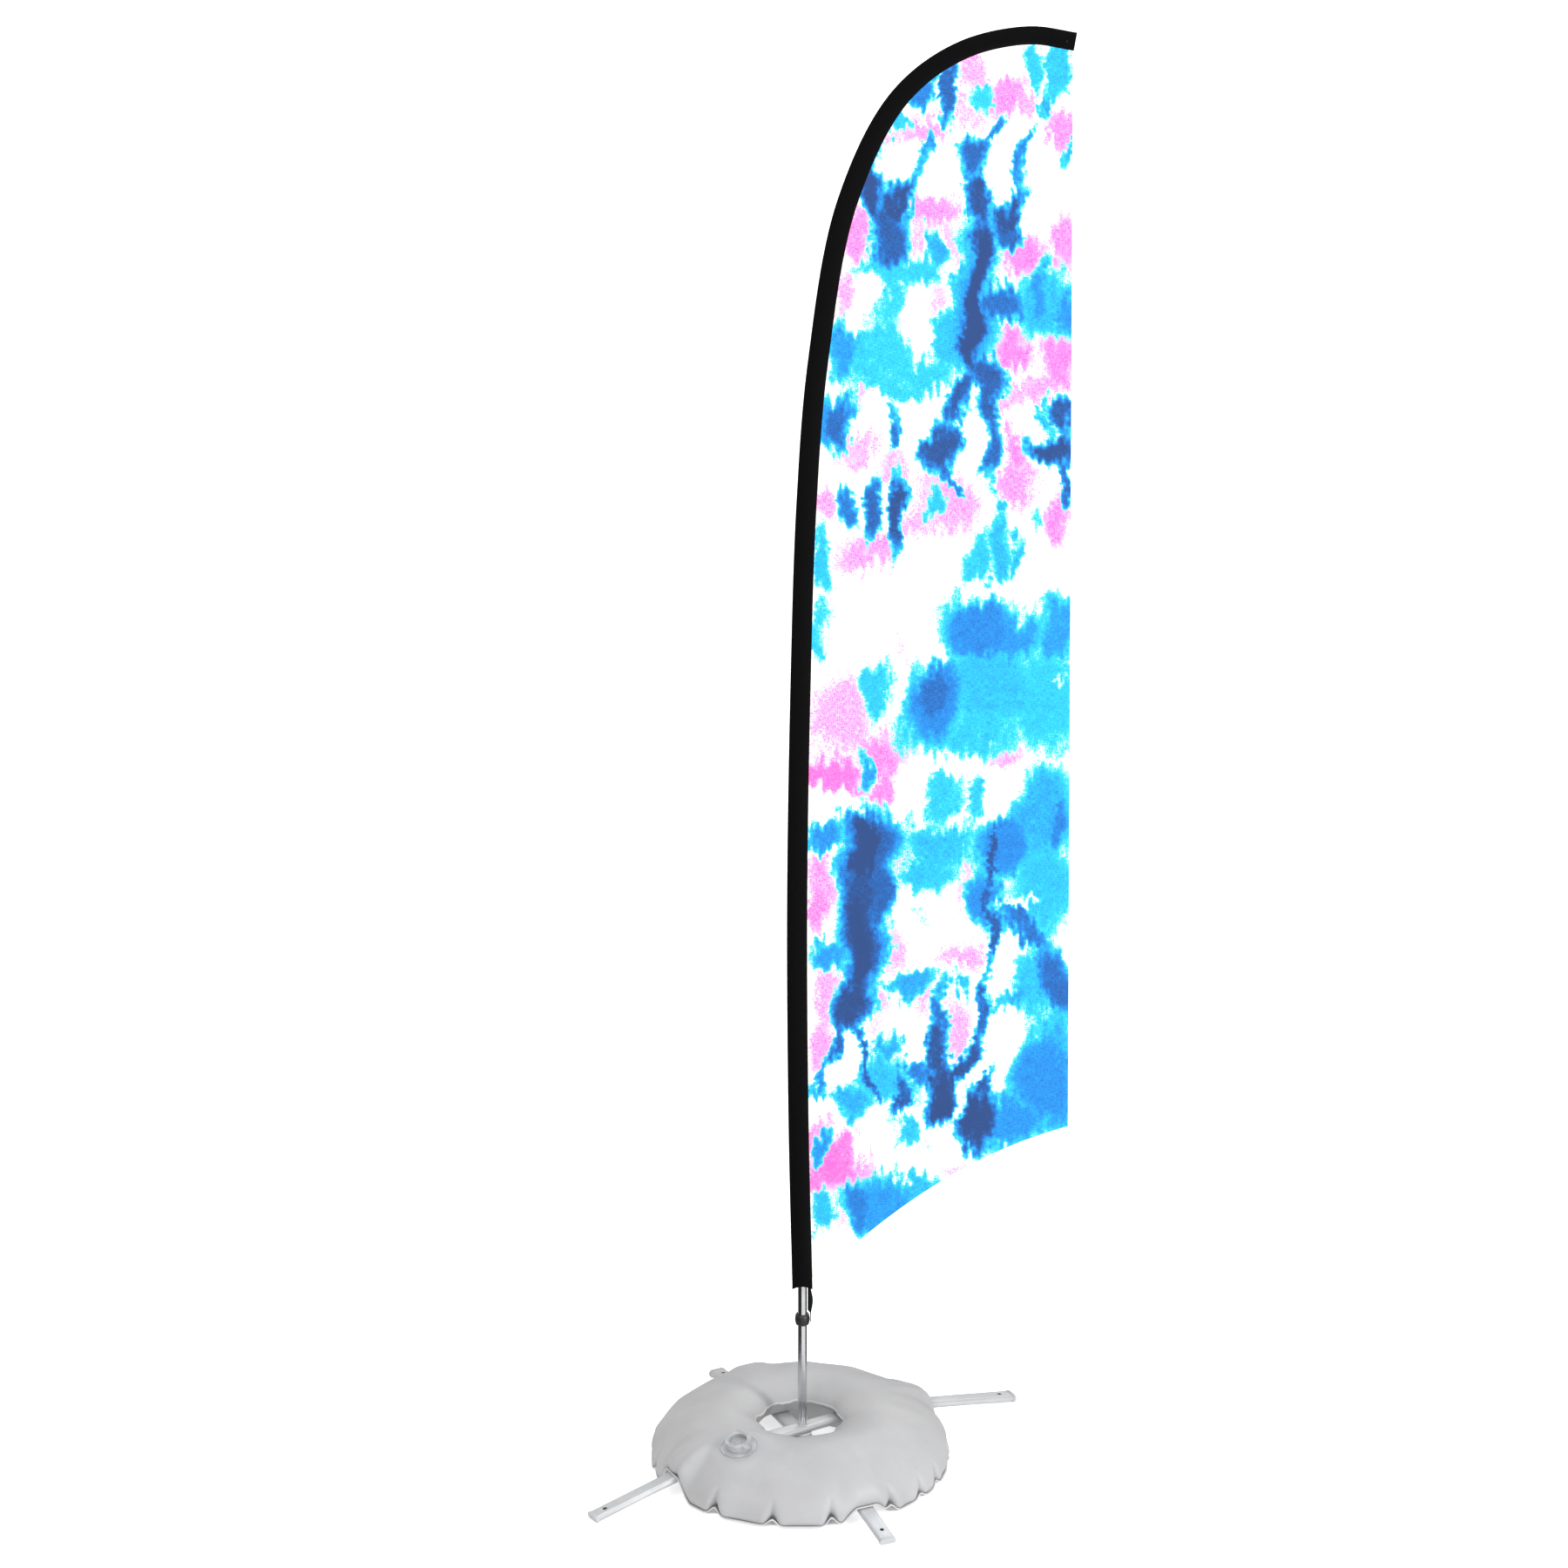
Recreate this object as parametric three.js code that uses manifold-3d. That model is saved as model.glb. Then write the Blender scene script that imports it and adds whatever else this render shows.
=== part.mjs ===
// Feather flag on a bowed sectional pole, with a folding cross base and a water-filled ring bag.
// Millimetres, +Z up. The flag lies in the XZ plane, with its banner on the +X side of the pole.

import * as THREE from 'three';
import { mergeVertices } from 'three/addons/utils/BufferGeometryUtils.js';
import Module from 'manifold-3d';

const wasm = await Module();
wasm.setup();

// ---- driving dimensions ----

const GAP = 0.3; // left between faces that touch
const ROUND = 24; // sides of a turned piece
const SLIM_ROUND = 12; // sides of a thin rod or tube

// cross base: two arched flat-oval tubes that cross on one bolt
const BAR_WIDTH = 29;
const BAR_HEIGHT = 12;
const BAR_WALL = 1.5;
const UPPER_BAR_REACH = 416; // pivot to the tube's end
const LOWER_BAR_REACH = 335; // short enough to fold in under the upper bar
const BAR_BEND = 145; // pivot to the middle of the bend
const BAR_BEND_HALF = 20;
const BAR_END_Z = 6.4; // centre height of the tube's end
const LOWER_BAR_Z = 47; // centre heights at the pivot
const UPPER_BAR_ANGLE = 31.6;
const LOWER_BAR_ANGLE = -64.5;
const PEG_HOLE_RADIUS = 4;
const PEG_HOLE_INSET = 20; // from the tube's end
const CAP_LIP = 5;
const CAP_TONGUE = 13;
const CAP_PROUD = 1; // the lip stands out this much around the tube
const GROOVE_SIDE = 2; // room that the bag leaves beside a bar
const GROOVE_TOP = 1;

// pivot bolt and spindle that the pole turns on
const DISC_THICKNESS = 2.4;
const DISC_RADIUS = 16;
const SHANK_RADIUS = 4;
const SPINDLE_RADIUS = 5;
const SPINDLE_LENGTH = 112;
const WASHER_RADIUS = 8.5;
const WASHER_THICKNESS = 2;
const NUT_ACROSS = 13;
const NUT_HEIGHT = 6.5;
const SHANK_TAIL = 2; // thread past the nut
const THRUST_THICKNESS = 1.5;
const BUSH_LENGTH = 20;

// pole: sections that plug into each other, thinner towards the tip
const POLE_RADIUS = 8;
const TUBE_WALLS = [1.2, 1.3, 1.3]; // the next section's outside fits each bore
const TUBE_TOPS = [570, 1270, 2000]; // along the pole, from its foot
const TUBE_OVERLAP = 60;
const STOP_RING_LENGTH = 16;
const BOW_FOOT = 340; // height where the bow starts
const BOW_RISE = 2393; // from there up to the crown
const BOW_REACH = 462; // pole's line to the end of the tip
const BOW_SHAPE = [ // [share of the reach, share of the rise] along the bent pole
  [0, 0], [-0.014, 0.13], [-0.0195, 0.301], [-0.0075, 0.476], [0.015, 0.627], [0.058, 0.742],
  [0.1645, 0.8675], [0.359, 0.9515], [0.584, 0.988], [0.829, 1], [1, 0.995],
];
const SPINE_TURN = 5; // degrees between stations of the bow
const SPINE_STEP = 170;
const TIP_CLEARANCE = 14; // tip cap to the pocket's end
const TIP_CAP_RADIUS = 5.5;
const TIP_CAP_LENGTH = 18;
const TIP_CAP_WALL = 4;

// fabric
const SLEEVE_WIDTH = 35;
const SLEEVE_WALL = 0.8;
const SLEEVE_EASE = 0.4; // room around the lower tube, front and back
const SLEEVE_END_SIDES = 6; // facets of each rounded edge
const SLEEVE_BOTTOM = 329;
const POCKET_LENGTH = 44;
const BANNER_THICKNESS = 0.6;
const BANNER_HEEL = 13; // sleeve's bottom to the lower hem's start
const BANNER_CORNER_RISE = 305; // lower hem's start to its free corner
const BANNER_CORNER_INSET = 9; // tip's end to the free corner
const BANNER_HOLLOW = 85.5; // how far the lower hem curves in

// tensioner on the exposed pole
const COLLAR_DROP = 56; // sleeve's bottom to the collar's middle
const COLLAR_LENGTH = 19;
const COLLAR_WALL = 4.6;
const COLLAR_BARREL = 1.3; // the ends are this much slimmer
const STRAP_WIDTH = 8;
const STRAP_THICKNESS = 1.6;
const STRAP_IN_SLEEVE = 21;
const STRAP_BULGE = 4.4; // past the collar's side
const STRAP_TAIL = 6; // below the collar's middle

// water bag: a filled ring that lies over the bars, with its outer weld near the floor
const BAG_OFFSET = [-4, -10];
const BAG_SEGMENTS = 40;
const BAG_RADIUS = 253;
const BAG_HOLE_RADIUS = 71;
const BAG_CROWN_RISE = 37; // above the bars' hub
const BAG_UNDERSIDE = 1.2; // above the floor
const BAG_SHAPE = [ // [share of the ring's width, share of its height], down the hole and round
  [0.0275, 0.683], [0.104, 0.4785], [0.192, 0.233], [0.302, 0.059], [0.434, 0], [0.791, 0],
  [0.925, 0.018], [0.985, 0.06], [1, 0.145], [0.972, 0.35], [0.8956, 0.581],
  [0.7857, 0.765], [0.6538, 0.898], [0.5165, 0.969], [0.379, 1], [0.247, 0.99],
  [0.126, 0.939], [0.0385, 0.867], [0, 0.785],
];

// filler valve on the bag
const VALVE_ANGLE = 231;
const VALVE_STATION = 13; // the point of the bag's shape that it sits on
const VALVE_TILT = 12;
const VALVE_SINK = 3; // seat below the bag's surface
const FLANGE_RADIUS = 32;
const FLANGE_THICKNESS = 1.8;
const NECK_RADIUS = 21.5;
const NECK_BORE = 17.3;
const NECK_TOP = 13;
const PLUG_RIM_RADIUS = 22.5;
const PLUG_RIM_THICKNESS = 3;
const PLUG_BOTTOM = 4;
const PLUG_RECESS_RADIUS = 15.5;
const PLUG_FLOOR = 4;
const TAB_LENGTH = 13;
const TAB_WIDTH = 10;
const TAB_ANGLE = 70; // from the outward direction
const TETHER_WIDTH = 8;
const TETHER_THICKNESS = 1.4;
const TETHER_REACH = 29;
const TETHER_ANGLE = 215;

// ---- worked-out heights ----

const LOWER_BAR_TOP = LOWER_BAR_Z + BAR_HEIGHT / 2;
const UPPER_BAR_BOTTOM = LOWER_BAR_TOP + DISC_THICKNESS + 2 * GAP;
const UPPER_BAR_Z = UPPER_BAR_BOTTOM + BAR_HEIGHT / 2;
const HUB_TOP = UPPER_BAR_Z + BAR_HEIGHT / 2;
const THRUST_BOTTOM = HUB_TOP + GAP;
const POLE_FOOT = THRUST_BOTTOM + THRUST_THICKNESS + GAP;
const WASHER_TOP = LOWER_BAR_Z - BAR_HEIGHT / 2 - GAP;
const NUT_TOP = WASHER_TOP - WASHER_THICKNESS - GAP;
const SHANK_BOTTOM = NUT_TOP - NUT_HEIGHT - SHANK_TAIL;
const SHANK_HOLE = SHANK_RADIUS + GAP;
const SPINDLE_SHOULDER = HUB_TOP + GAP;
const SPINDLE_TOP = SPINDLE_SHOULDER + SPINDLE_LENGTH;
const SLEEVE_DEPTH = 2 * (POLE_RADIUS + SLEEVE_EASE + SLEEVE_WALL);
const COLLAR_HEIGHT = SLEEVE_BOTTOM - COLLAR_DROP;
const COLLAR_RADIUS = POLE_RADIUS + GAP + COLLAR_WALL;

// ---- materials ----

function finish(color, roughness, metalness) {
  return new THREE.MeshStandardMaterial({ color, roughness, metalness });
}

const looks = {
  chrome: () => finish(0xd8dade, 0.12, 1),
  bar: () => finish(0xd2d3d4, 0.45, 0.5),
  steel: () => finish(0x9a9da1, 0.35, 1),
  greyPlastic: () => finish(0xc4c6c8, 0.6, 0),
  nylon: () => finish(0xe4e4e0, 0.5, 0),
  fibreglass: () => finish(0x2b2c2f, 0.4, 0),
  rubber: () => finish(0x1b1b1d, 0.7, 0),
  blackFabric: () => finish(0x121214, 0.85, 0),
  print: () => finish(0x4fb6e0, 0.8, 0),
  vinyl: () => finish(0xc9cacb, 0.45, 0),
  clearVinyl: () => finish(0xd9dbdc, 0.2, 0),
};

// ---- solids ----

function toSolid(geometry) {
  const bare = geometry.clone();
  bare.deleteAttribute('normal');
  bare.deleteAttribute('uv');
  const merged = mergeVertices(bare, 1e-4);
  return new wasm.Manifold(new wasm.Mesh({
    numProp: 3,
    vertProperties: new Float32Array(merged.attributes.position.array),
    triVerts: new Uint32Array(merged.index.array),
  }));
}

function toGeometry(solid) {
  const mesh = solid.getMesh();
  const geometry = new THREE.BufferGeometry();
  geometry.setAttribute('position', new THREE.BufferAttribute(mesh.vertProperties, 3));
  geometry.setIndex(new THREE.BufferAttribute(mesh.triVerts, 1));
  geometry.computeVertexNormals();
  return geometry;
}

function cut(geometry, ...tools) {
  return toGeometry(tools.reduce((solid, tool) => solid.subtract(toSolid(tool)), toSolid(geometry)));
}

function join(...pieces) {
  return toGeometry(pieces.map(toSolid).reduce((whole, piece) => whole.add(piece)));
}

// A turned piece about +Z: profile is [radius, height] pairs, from the axis to the axis or a closed ring.
function turned(profile, sides = ROUND) {
  const onAxis = profile[0][0] === 0;
  const loop = onAxis ? profile : [...profile, profile[0]];
  const geometry = new THREE.LatheGeometry(loop.map(([r, z]) => new THREE.Vector2(r, z)), sides);
  return geometry.rotateX(Math.PI / 2);
}

function ring(inner, outer, bottom, top, sides = ROUND) {
  return turned([[inner, bottom], [outer, bottom], [outer, top], [inner, top]], sides);
}

function rod(radius, bottom, top, sides = ROUND) {
  return turned([[0, bottom], [radius, bottom], [radius, top], [0, top]], sides);
}

// ---- sections and paths ----

function circlePoints(radius, sides) {
  return Array.from({ length: sides }, (_, i) => {
    const angle = (2 * Math.PI * (i + 0.5)) / sides;
    return new THREE.Vector2(radius * Math.cos(angle), radius * Math.sin(angle));
  });
}

// A flat oval: two straight sides joined by half circles, width along x.
function ovalPoints(width, height, perEnd = 6) {
  const radius = height / 2;
  const points = [];
  for (const side of [1, -1]) {
    for (let i = 0; i <= perEnd; i += 1) {
      const angle = -Math.PI / 2 + (Math.PI * i) / perEnd;
      points.push(new THREE.Vector2(
        side * (width / 2 - radius + radius * Math.cos(angle)),
        side * radius * Math.sin(angle),
      ));
    }
  }
  return points;
}

function section(outer, inner) {
  const shape = new THREE.Shape(outer);
  if (inner) shape.holes.push(new THREE.Path(inner));
  return shape;
}

// The mean direction of a chain of points at each of them.
function meanTangents(points) {
  return points.map((here, i) => {
    const into = here.clone().sub(points[Math.max(i - 1, 0)]).normalize();
    const out = points[Math.min(i + 1, points.length - 1)].clone().sub(here).normalize();
    return into.add(out).normalize();
  });
}

// A path through given stations, with the section square to the tangent given at each.
class StationPath extends THREE.Curve {
  constructor(points, tangents) {
    super();
    this.points = points;
    this.tangents = tangents;
    this.steps = points.length - 1;
  }

  getPoint(t) {
    return this.points[Math.round(t * this.steps)].clone();
  }

  getPointAt(u) {
    return this.getPoint(u);
  }

  getTangentAt(u) {
    return this.tangents[Math.round(u * this.steps)].clone();
  }
}

function sweep(shape, points, tangents = meanTangents(points)) {
  const extrudePath = new StationPath(points, tangents);
  return new THREE.ExtrudeGeometry(shape, { steps: extrudePath.steps, extrudePath, curveSegments: 1 });
}

// The pole's middle line as a chain of short chords, so nested tubes bend at the same places.
function makeSpine() {
  const bow = new THREE.CatmullRomCurve3(BOW_SHAPE.map(([across, up]) => (
    new THREE.Vector3(across * BOW_REACH, 0, BOW_FOOT + up * BOW_RISE)
  )));
  const samples = 600;
  const stations = [new THREE.Vector3(0, 0, POLE_FOOT), bow.getPointAt(0)];
  let direction = bow.getTangentAt(0);
  for (let i = 1; i < samples; i += 1) {
    const tangent = bow.getTangentAt(i / samples);
    const point = bow.getPointAt(i / samples);
    const turn = THREE.MathUtils.radToDeg(tangent.angleTo(direction));
    if (turn > SPINE_TURN || point.distanceTo(stations.at(-1)) > SPINE_STEP) {
      stations.push(point);
      direction = tangent;
    }
  }
  stations.push(bow.getPointAt(1));
  return stations;
}

const spine = makeSpine();
const spineTangents = meanTangents(spine);
const spineLengths = spine.map((_, i) => (
  spine.slice(1, i + 1).reduce((sum, point, k) => sum + point.distanceTo(spine[k]), 0)
));
const SPINE_LENGTH = spineLengths.at(-1);

// The spine's point and tangent at a length along it.
function spineAt(along) {
  const i = Math.max(1, spineLengths.findIndex((length) => length >= along - 1e-6));
  const share = (along - spineLengths[i - 1]) / (spineLengths[i] - spineLengths[i - 1]);
  return {
    point: spine[i - 1].clone().lerp(spine[i], share),
    tangent: spineTangents[i - 1].clone().lerp(spineTangents[i], share).normalize(),
  };
}

// The spine's stations between two lengths along it, with one at each end.
function spineBetween(from, to) {
  const inside = spineLengths.filter((length) => length > from + 0.05 && length < to - 0.05);
  const stops = [from, ...inside, to].map(spineAt);
  return [stops.map(({ point }) => point), stops.map(({ tangent }) => tangent)];
}

// ---- assembly ----

const flag = new THREE.Group();

function place(name, geometry, material, parent = flag) {
  const mesh = new THREE.Mesh(geometry, material);
  mesh.name = name;
  parent.add(mesh);
  return mesh;
}

// ---- cross base ----

const upperBar = { hubZ: UPPER_BAR_Z, reach: UPPER_BAR_REACH, degrees: UPPER_BAR_ANGLE };
const lowerBar = { hubZ: LOWER_BAR_Z, reach: LOWER_BAR_REACH, degrees: LOWER_BAR_ANGLE };

// Height of a bar's middle line at a distance from the pivot.
function barCentre(distance, { hubZ, reach }) {
  const fall = (hubZ - BAR_END_Z) / (reach - BAR_BEND);
  const past = Math.abs(distance) - (BAR_BEND - BAR_BEND_HALF);
  if (past <= 0) return hubZ;
  if (past < 2 * BAR_BEND_HALF) return hubZ - (fall * past * past) / (4 * BAR_BEND_HALF);
  return hubZ - fall * (past - BAR_BEND_HALF);
}

function barStation(distance, leg) {
  return new THREE.Vector3(distance, 0, barCentre(distance, leg));
}

function barStations(leg) {
  const near = BAR_BEND - BAR_BEND_HALF;
  const far = BAR_BEND + BAR_BEND_HALF;
  const half = [near, BAR_BEND, far, leg.reach];
  const distances = [...half.map((d) => -d).reverse(), ...half];
  return distances.map((distance) => barStation(distance, leg));
}

function bar(leg) {
  const { hubZ, reach } = leg;
  const outer = ovalPoints(BAR_WIDTH, BAR_HEIGHT);
  const inner = ovalPoints(BAR_WIDTH - 2 * BAR_WALL, BAR_HEIGHT - 2 * BAR_WALL);
  const tube = sweep(section(outer, inner), barStations(leg));
  const high = hubZ + BAR_HEIGHT;
  const pegDistance = reach - PEG_HOLE_INSET;
  const holes = [
    rod(SHANK_HOLE, hubZ - BAR_HEIGHT, high),
    rod(PEG_HOLE_RADIUS, -1, high, SLIM_ROUND).translate(pegDistance, 0, 0),
    rod(PEG_HOLE_RADIUS, -1, high, SLIM_ROUND).translate(-pegDistance, 0, 0),
  ];
  return cut(tube, ...holes);
}

// An end plug: a tongue inside the tube and a lip that is cut flat where it stands on the floor.
function endCap(side, leg) {
  const straight = (distance) => {
    const start = barStation(side * leg.reach, leg);
    const outward = start.clone().sub(barStation(side * (leg.reach - 1), leg)).normalize();
    return start.addScaledVector(outward, distance);
  };
  const inner = (size) => size - 2 * BAR_WALL - 2 * GAP;
  const lip = sweep(
    section(ovalPoints(BAR_WIDTH + 2 * CAP_PROUD, BAR_HEIGHT + 2 * CAP_PROUD)),
    [straight(GAP), straight(GAP + CAP_LIP)],
  );
  const tongue = sweep(
    section(ovalPoints(inner(BAR_WIDTH), inner(BAR_HEIGHT))),
    [straight(-CAP_TONGUE), straight(GAP + CAP_LIP / 2)],
  );
  const below = new THREE.BoxGeometry(200, 200, 20).translate(side * leg.reach, 0, -10);
  return cut(join(lip, tongue), below);
}

function addBar(name, leg, capNames) {
  const turn = new THREE.Group();
  turn.rotation.z = THREE.MathUtils.degToRad(leg.degrees);
  flag.add(turn);
  place(name, bar(leg), looks.bar(), turn);
  place(capNames[0], endCap(1, leg), looks.greyPlastic(), turn);
  place(capNames[1], endCap(-1, leg), looks.greyPlastic(), turn);
}

addBar('upper_leg_bar', upperBar, ['end_cap_right_back', 'end_cap_left_front']);
addBar('lower_leg_bar', lowerBar, ['end_cap_right_front', 'end_cap_left_back']);

// ---- pivot ----

function hexNut() {
  const corner = NUT_ACROSS / Math.sqrt(3);
  const shape = section(circlePoints(corner, 6), circlePoints(SHANK_HOLE, SLIM_ROUND));
  const bottom = new THREE.Vector3(0, 0, NUT_TOP - NUT_HEIGHT);
  return sweep(shape, [bottom, new THREE.Vector3(0, 0, NUT_TOP)]);
}

place('spindle', turned([
  [0, SHANK_BOTTOM], [SHANK_RADIUS - 1, SHANK_BOTTOM], [SHANK_RADIUS, SHANK_BOTTOM + 1],
  [SHANK_RADIUS, SPINDLE_SHOULDER], [SPINDLE_RADIUS, SPINDLE_SHOULDER],
  [SPINDLE_RADIUS, SPINDLE_TOP - 2], [SPINDLE_RADIUS - 2, SPINDLE_TOP], [0, SPINDLE_TOP],
]), looks.steel());
place('pivot_disc', ring(
  SHANK_HOLE, DISC_RADIUS, LOWER_BAR_TOP + GAP, LOWER_BAR_TOP + GAP + DISC_THICKNESS,
), looks.nylon());
place('lower_washer', ring(
  SHANK_HOLE, WASHER_RADIUS, WASHER_TOP - WASHER_THICKNESS, WASHER_TOP,
), looks.steel());
place('lock_nut', hexNut(), looks.steel());
place('thrust_washer', ring(
  SPINDLE_RADIUS + GAP, POLE_RADIUS, THRUST_BOTTOM, THRUST_BOTTOM + THRUST_THICKNESS,
), looks.nylon());

// ---- pole ----

const tubeRadii = TUBE_WALLS.reduce(
  (radii, wall) => [...radii, radii.at(-1) - wall - GAP],
  [POLE_RADIUS],
);
const boreRadius = (i) => tubeRadii[i] - TUBE_WALLS[i];
const tubeSides = (i) => (i === 0 ? ROUND : SLIM_ROUND);
const tubeStart = (i) => (i === 0 ? 0 : TUBE_TOPS[i - 1] - TUBE_OVERLAP);
const TIP_END = SPINE_LENGTH - TIP_CLEARANCE;
const ROD_END = TIP_END - TIP_CAP_WALL;

function addBush(name, bottom) {
  place(name, ring(
    SPINDLE_RADIUS + GAP, boreRadius(0) - GAP, bottom, bottom + BUSH_LENGTH,
  ), looks.nylon());
}

addBush('spindle_bush_lower', POLE_FOOT + 1);
addBush('spindle_bush_upper', SPINDLE_TOP - BUSH_LENGTH - 6);

const tubeNames = ['pole_tube_lower', 'pole_tube_middle', 'pole_tube_upper'];
const tubeLooks = [looks.chrome, looks.steel, looks.fibreglass];
tubeNames.forEach((name, i) => {
  const shape = section(
    circlePoints(tubeRadii[i], tubeSides(i)),
    circlePoints(boreRadius(i), tubeSides(i)),
  );
  place(name, sweep(shape, ...spineBetween(tubeStart(i), TUBE_TOPS[i])), tubeLooks[i]());
});
place('pole_tip_rod', sweep(
  section(circlePoints(tubeRadii[3], SLIM_ROUND)),
  ...spineBetween(tubeStart(3), ROD_END),
), looks.fibreglass());

// A stop ring sits on each tube's top, around the section that plugs into it.
tubeNames.forEach((name, i) => {
  const shape = section(
    circlePoints(tubeRadii[i], tubeSides(i)),
    circlePoints(tubeRadii[i + 1] + GAP, tubeSides(i)),
  );
  const from = TUBE_TOPS[i] + GAP;
  place(`stop_ring_${i + 1}`, sweep(shape, ...spineBetween(from, from + STOP_RING_LENGTH)), looks.rubber());
});

function tipCap() {
  const body = sweep(
    section(circlePoints(TIP_CAP_RADIUS, SLIM_ROUND)),
    ...spineBetween(TIP_END - TIP_CAP_LENGTH, TIP_END),
  );
  const hollow = sweep(
    section(circlePoints(tubeRadii[3] + GAP, SLIM_ROUND)),
    ...spineBetween(TIP_END - 2 * TIP_CAP_LENGTH, ROD_END + GAP),
  );
  return cut(body, hollow);
}

place('pole_tip_cap', tipCap(), looks.rubber());

// ---- fabric ----

// Seen along the pole, x of the section is the sleeve's depth and y its width.
const sleeveOval = (inset) => ovalPoints(
  SLEEVE_WIDTH - 2 * inset, SLEEVE_DEPTH - 2 * inset, SLEEVE_END_SIDES,
).map((point) => new THREE.Vector2(-point.y, point.x));
const sleeveStart = SLEEVE_BOTTOM - POLE_FOOT;
const pocketStart = SPINE_LENGTH - POCKET_LENGTH;

place('pole_sleeve', sweep(
  section(sleeveOval(0), sleeveOval(SLEEVE_WALL)),
  ...spineBetween(sleeveStart, pocketStart - GAP),
), looks.blackFabric());

function tipPocket() {
  const outside = sweep(section(sleeveOval(0)), ...spineBetween(pocketStart, SPINE_LENGTH));
  const inside = sweep(
    section(sleeveOval(SLEEVE_WALL)),
    ...spineBetween(pocketStart - 5, SPINE_LENGTH - 2 * SLEEVE_WALL),
  );
  return cut(outside, inside);
}

place('sleeve_tip_pocket', tipPocket(), looks.blackFabric());

// The sleeve's edge on the banner's side, a small gap away from it.
function sleeveEdge(from, to) {
  const [points, tangents] = spineBetween(from, to);
  return points.map((point, i) => new THREE.Vector2(
    point.x + tangents[i].z * (SLEEVE_WIDTH / 2 + GAP),
    point.z - tangents[i].x * (SLEEVE_WIDTH / 2 + GAP),
  ));
}

function banner() {
  const edge = sleeveEdge(sleeveStart + BANNER_HEEL, SPINE_LENGTH);
  const heel = edge[0];
  const corner = new THREE.Vector2(BOW_REACH - BANNER_CORNER_INSET, heel.y + BANNER_CORNER_RISE);
  const outline = new THREE.Shape();
  outline.moveTo(heel.x, heel.y);
  outline.quadraticCurveTo(
    (heel.x + corner.x) / 2, (heel.y + corner.y) / 2 + BANNER_HOLLOW, corner.x, corner.y,
  );
  edge.reverse().forEach((point) => outline.lineTo(point.x, point.y));
  const geometry = new THREE.ExtrudeGeometry(outline, {
    depth: BANNER_THICKNESS, bevelEnabled: false, curveSegments: 10,
  });
  return geometry.rotateX(Math.PI / 2).translate(0, BANNER_THICKNESS / 2, 0);
}

place('banner', banner(), looks.print());

// ---- tensioner ----

const COLLAR_END_RADIUS = COLLAR_RADIUS - COLLAR_BARREL;
place('tension_collar', turned([
  [POLE_RADIUS + GAP, -COLLAR_LENGTH / 2], [COLLAR_END_RADIUS, -COLLAR_LENGTH / 2],
  [COLLAR_RADIUS - COLLAR_BARREL / 4, -COLLAR_LENGTH / 4], [COLLAR_RADIUS, 0],
  [COLLAR_RADIUS - COLLAR_BARREL / 4, COLLAR_LENGTH / 4], [COLLAR_END_RADIUS, COLLAR_LENGTH / 2],
  [POLE_RADIUS + GAP, COLLAR_LENGTH / 2],
]).translate(0, 0, COLLAR_HEIGHT), looks.rubber());

// The strap hangs inside the sleeve's wall, bulges out and lies on the collar's side.
function strap() {
  const endRadius = (SLEEVE_DEPTH / 2 - SLEEVE_WALL) * Math.cos(Math.PI / 2 / SLEEVE_END_SIDES);
  const chord = Math.sqrt(endRadius ** 2 - (STRAP_WIDTH / 2) ** 2);
  const inSleeve = (SLEEVE_WIDTH - SLEEVE_DEPTH) / 2 + chord - STRAP_THICKNESS / 2 - 2 * GAP;
  const onCollar = COLLAR_RADIUS + GAP + STRAP_THICKNESS / 2;
  const collarTop = COLLAR_HEIGHT + COLLAR_LENGTH / 2;
  const middle = (SLEEVE_BOTTOM + collarTop) / 2;
  const bulge = COLLAR_RADIUS + STRAP_BULGE;
  const route = [
    [inSleeve, SLEEVE_BOTTOM + STRAP_IN_SLEEVE], [inSleeve, SLEEVE_BOTTOM + 3],
    [(inSleeve + bulge) / 2, SLEEVE_BOTTOM - 7], [bulge, middle + 7], [bulge - 0.6, middle - 5],
    [onCollar + 0.6, collarTop + 4], [onCollar, collarTop - 3],
    [onCollar, COLLAR_HEIGHT - STRAP_TAIL],
  ];
  const half = [STRAP_WIDTH / 2, STRAP_THICKNESS / 2];
  const shape = section([[1, 1], [-1, 1], [-1, -1], [1, -1]].map(
    ([x, y]) => new THREE.Vector2(x * half[0], y * half[1]),
  ));
  return sweep(shape, route.map(([x, z]) => new THREE.Vector3(x, 0, z)));
}

place('tension_strap', strap(), looks.blackFabric());

// ---- water bag ----

// The tunnel that the bag leaves over one bar, open to the floor.
function barTunnel(leg) {
  const topPoints = barStations(leg).reverse().map(({ x, z }) => (
    new THREE.Vector2(x, z + BAR_HEIGHT / 2 + GROOVE_TOP)
  ));
  const outline = new THREE.Shape([
    new THREE.Vector2(-leg.reach, -5), new THREE.Vector2(leg.reach, -5), ...topPoints,
  ]);
  const width = BAR_WIDTH + 2 * GROOVE_SIDE;
  return new THREE.ExtrudeGeometry(outline, { depth: width, bevelEnabled: false })
    .rotateX(Math.PI / 2)
    .translate(0, width / 2, 0)
    .rotateZ(THREE.MathUtils.degToRad(leg.degrees));
}

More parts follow.
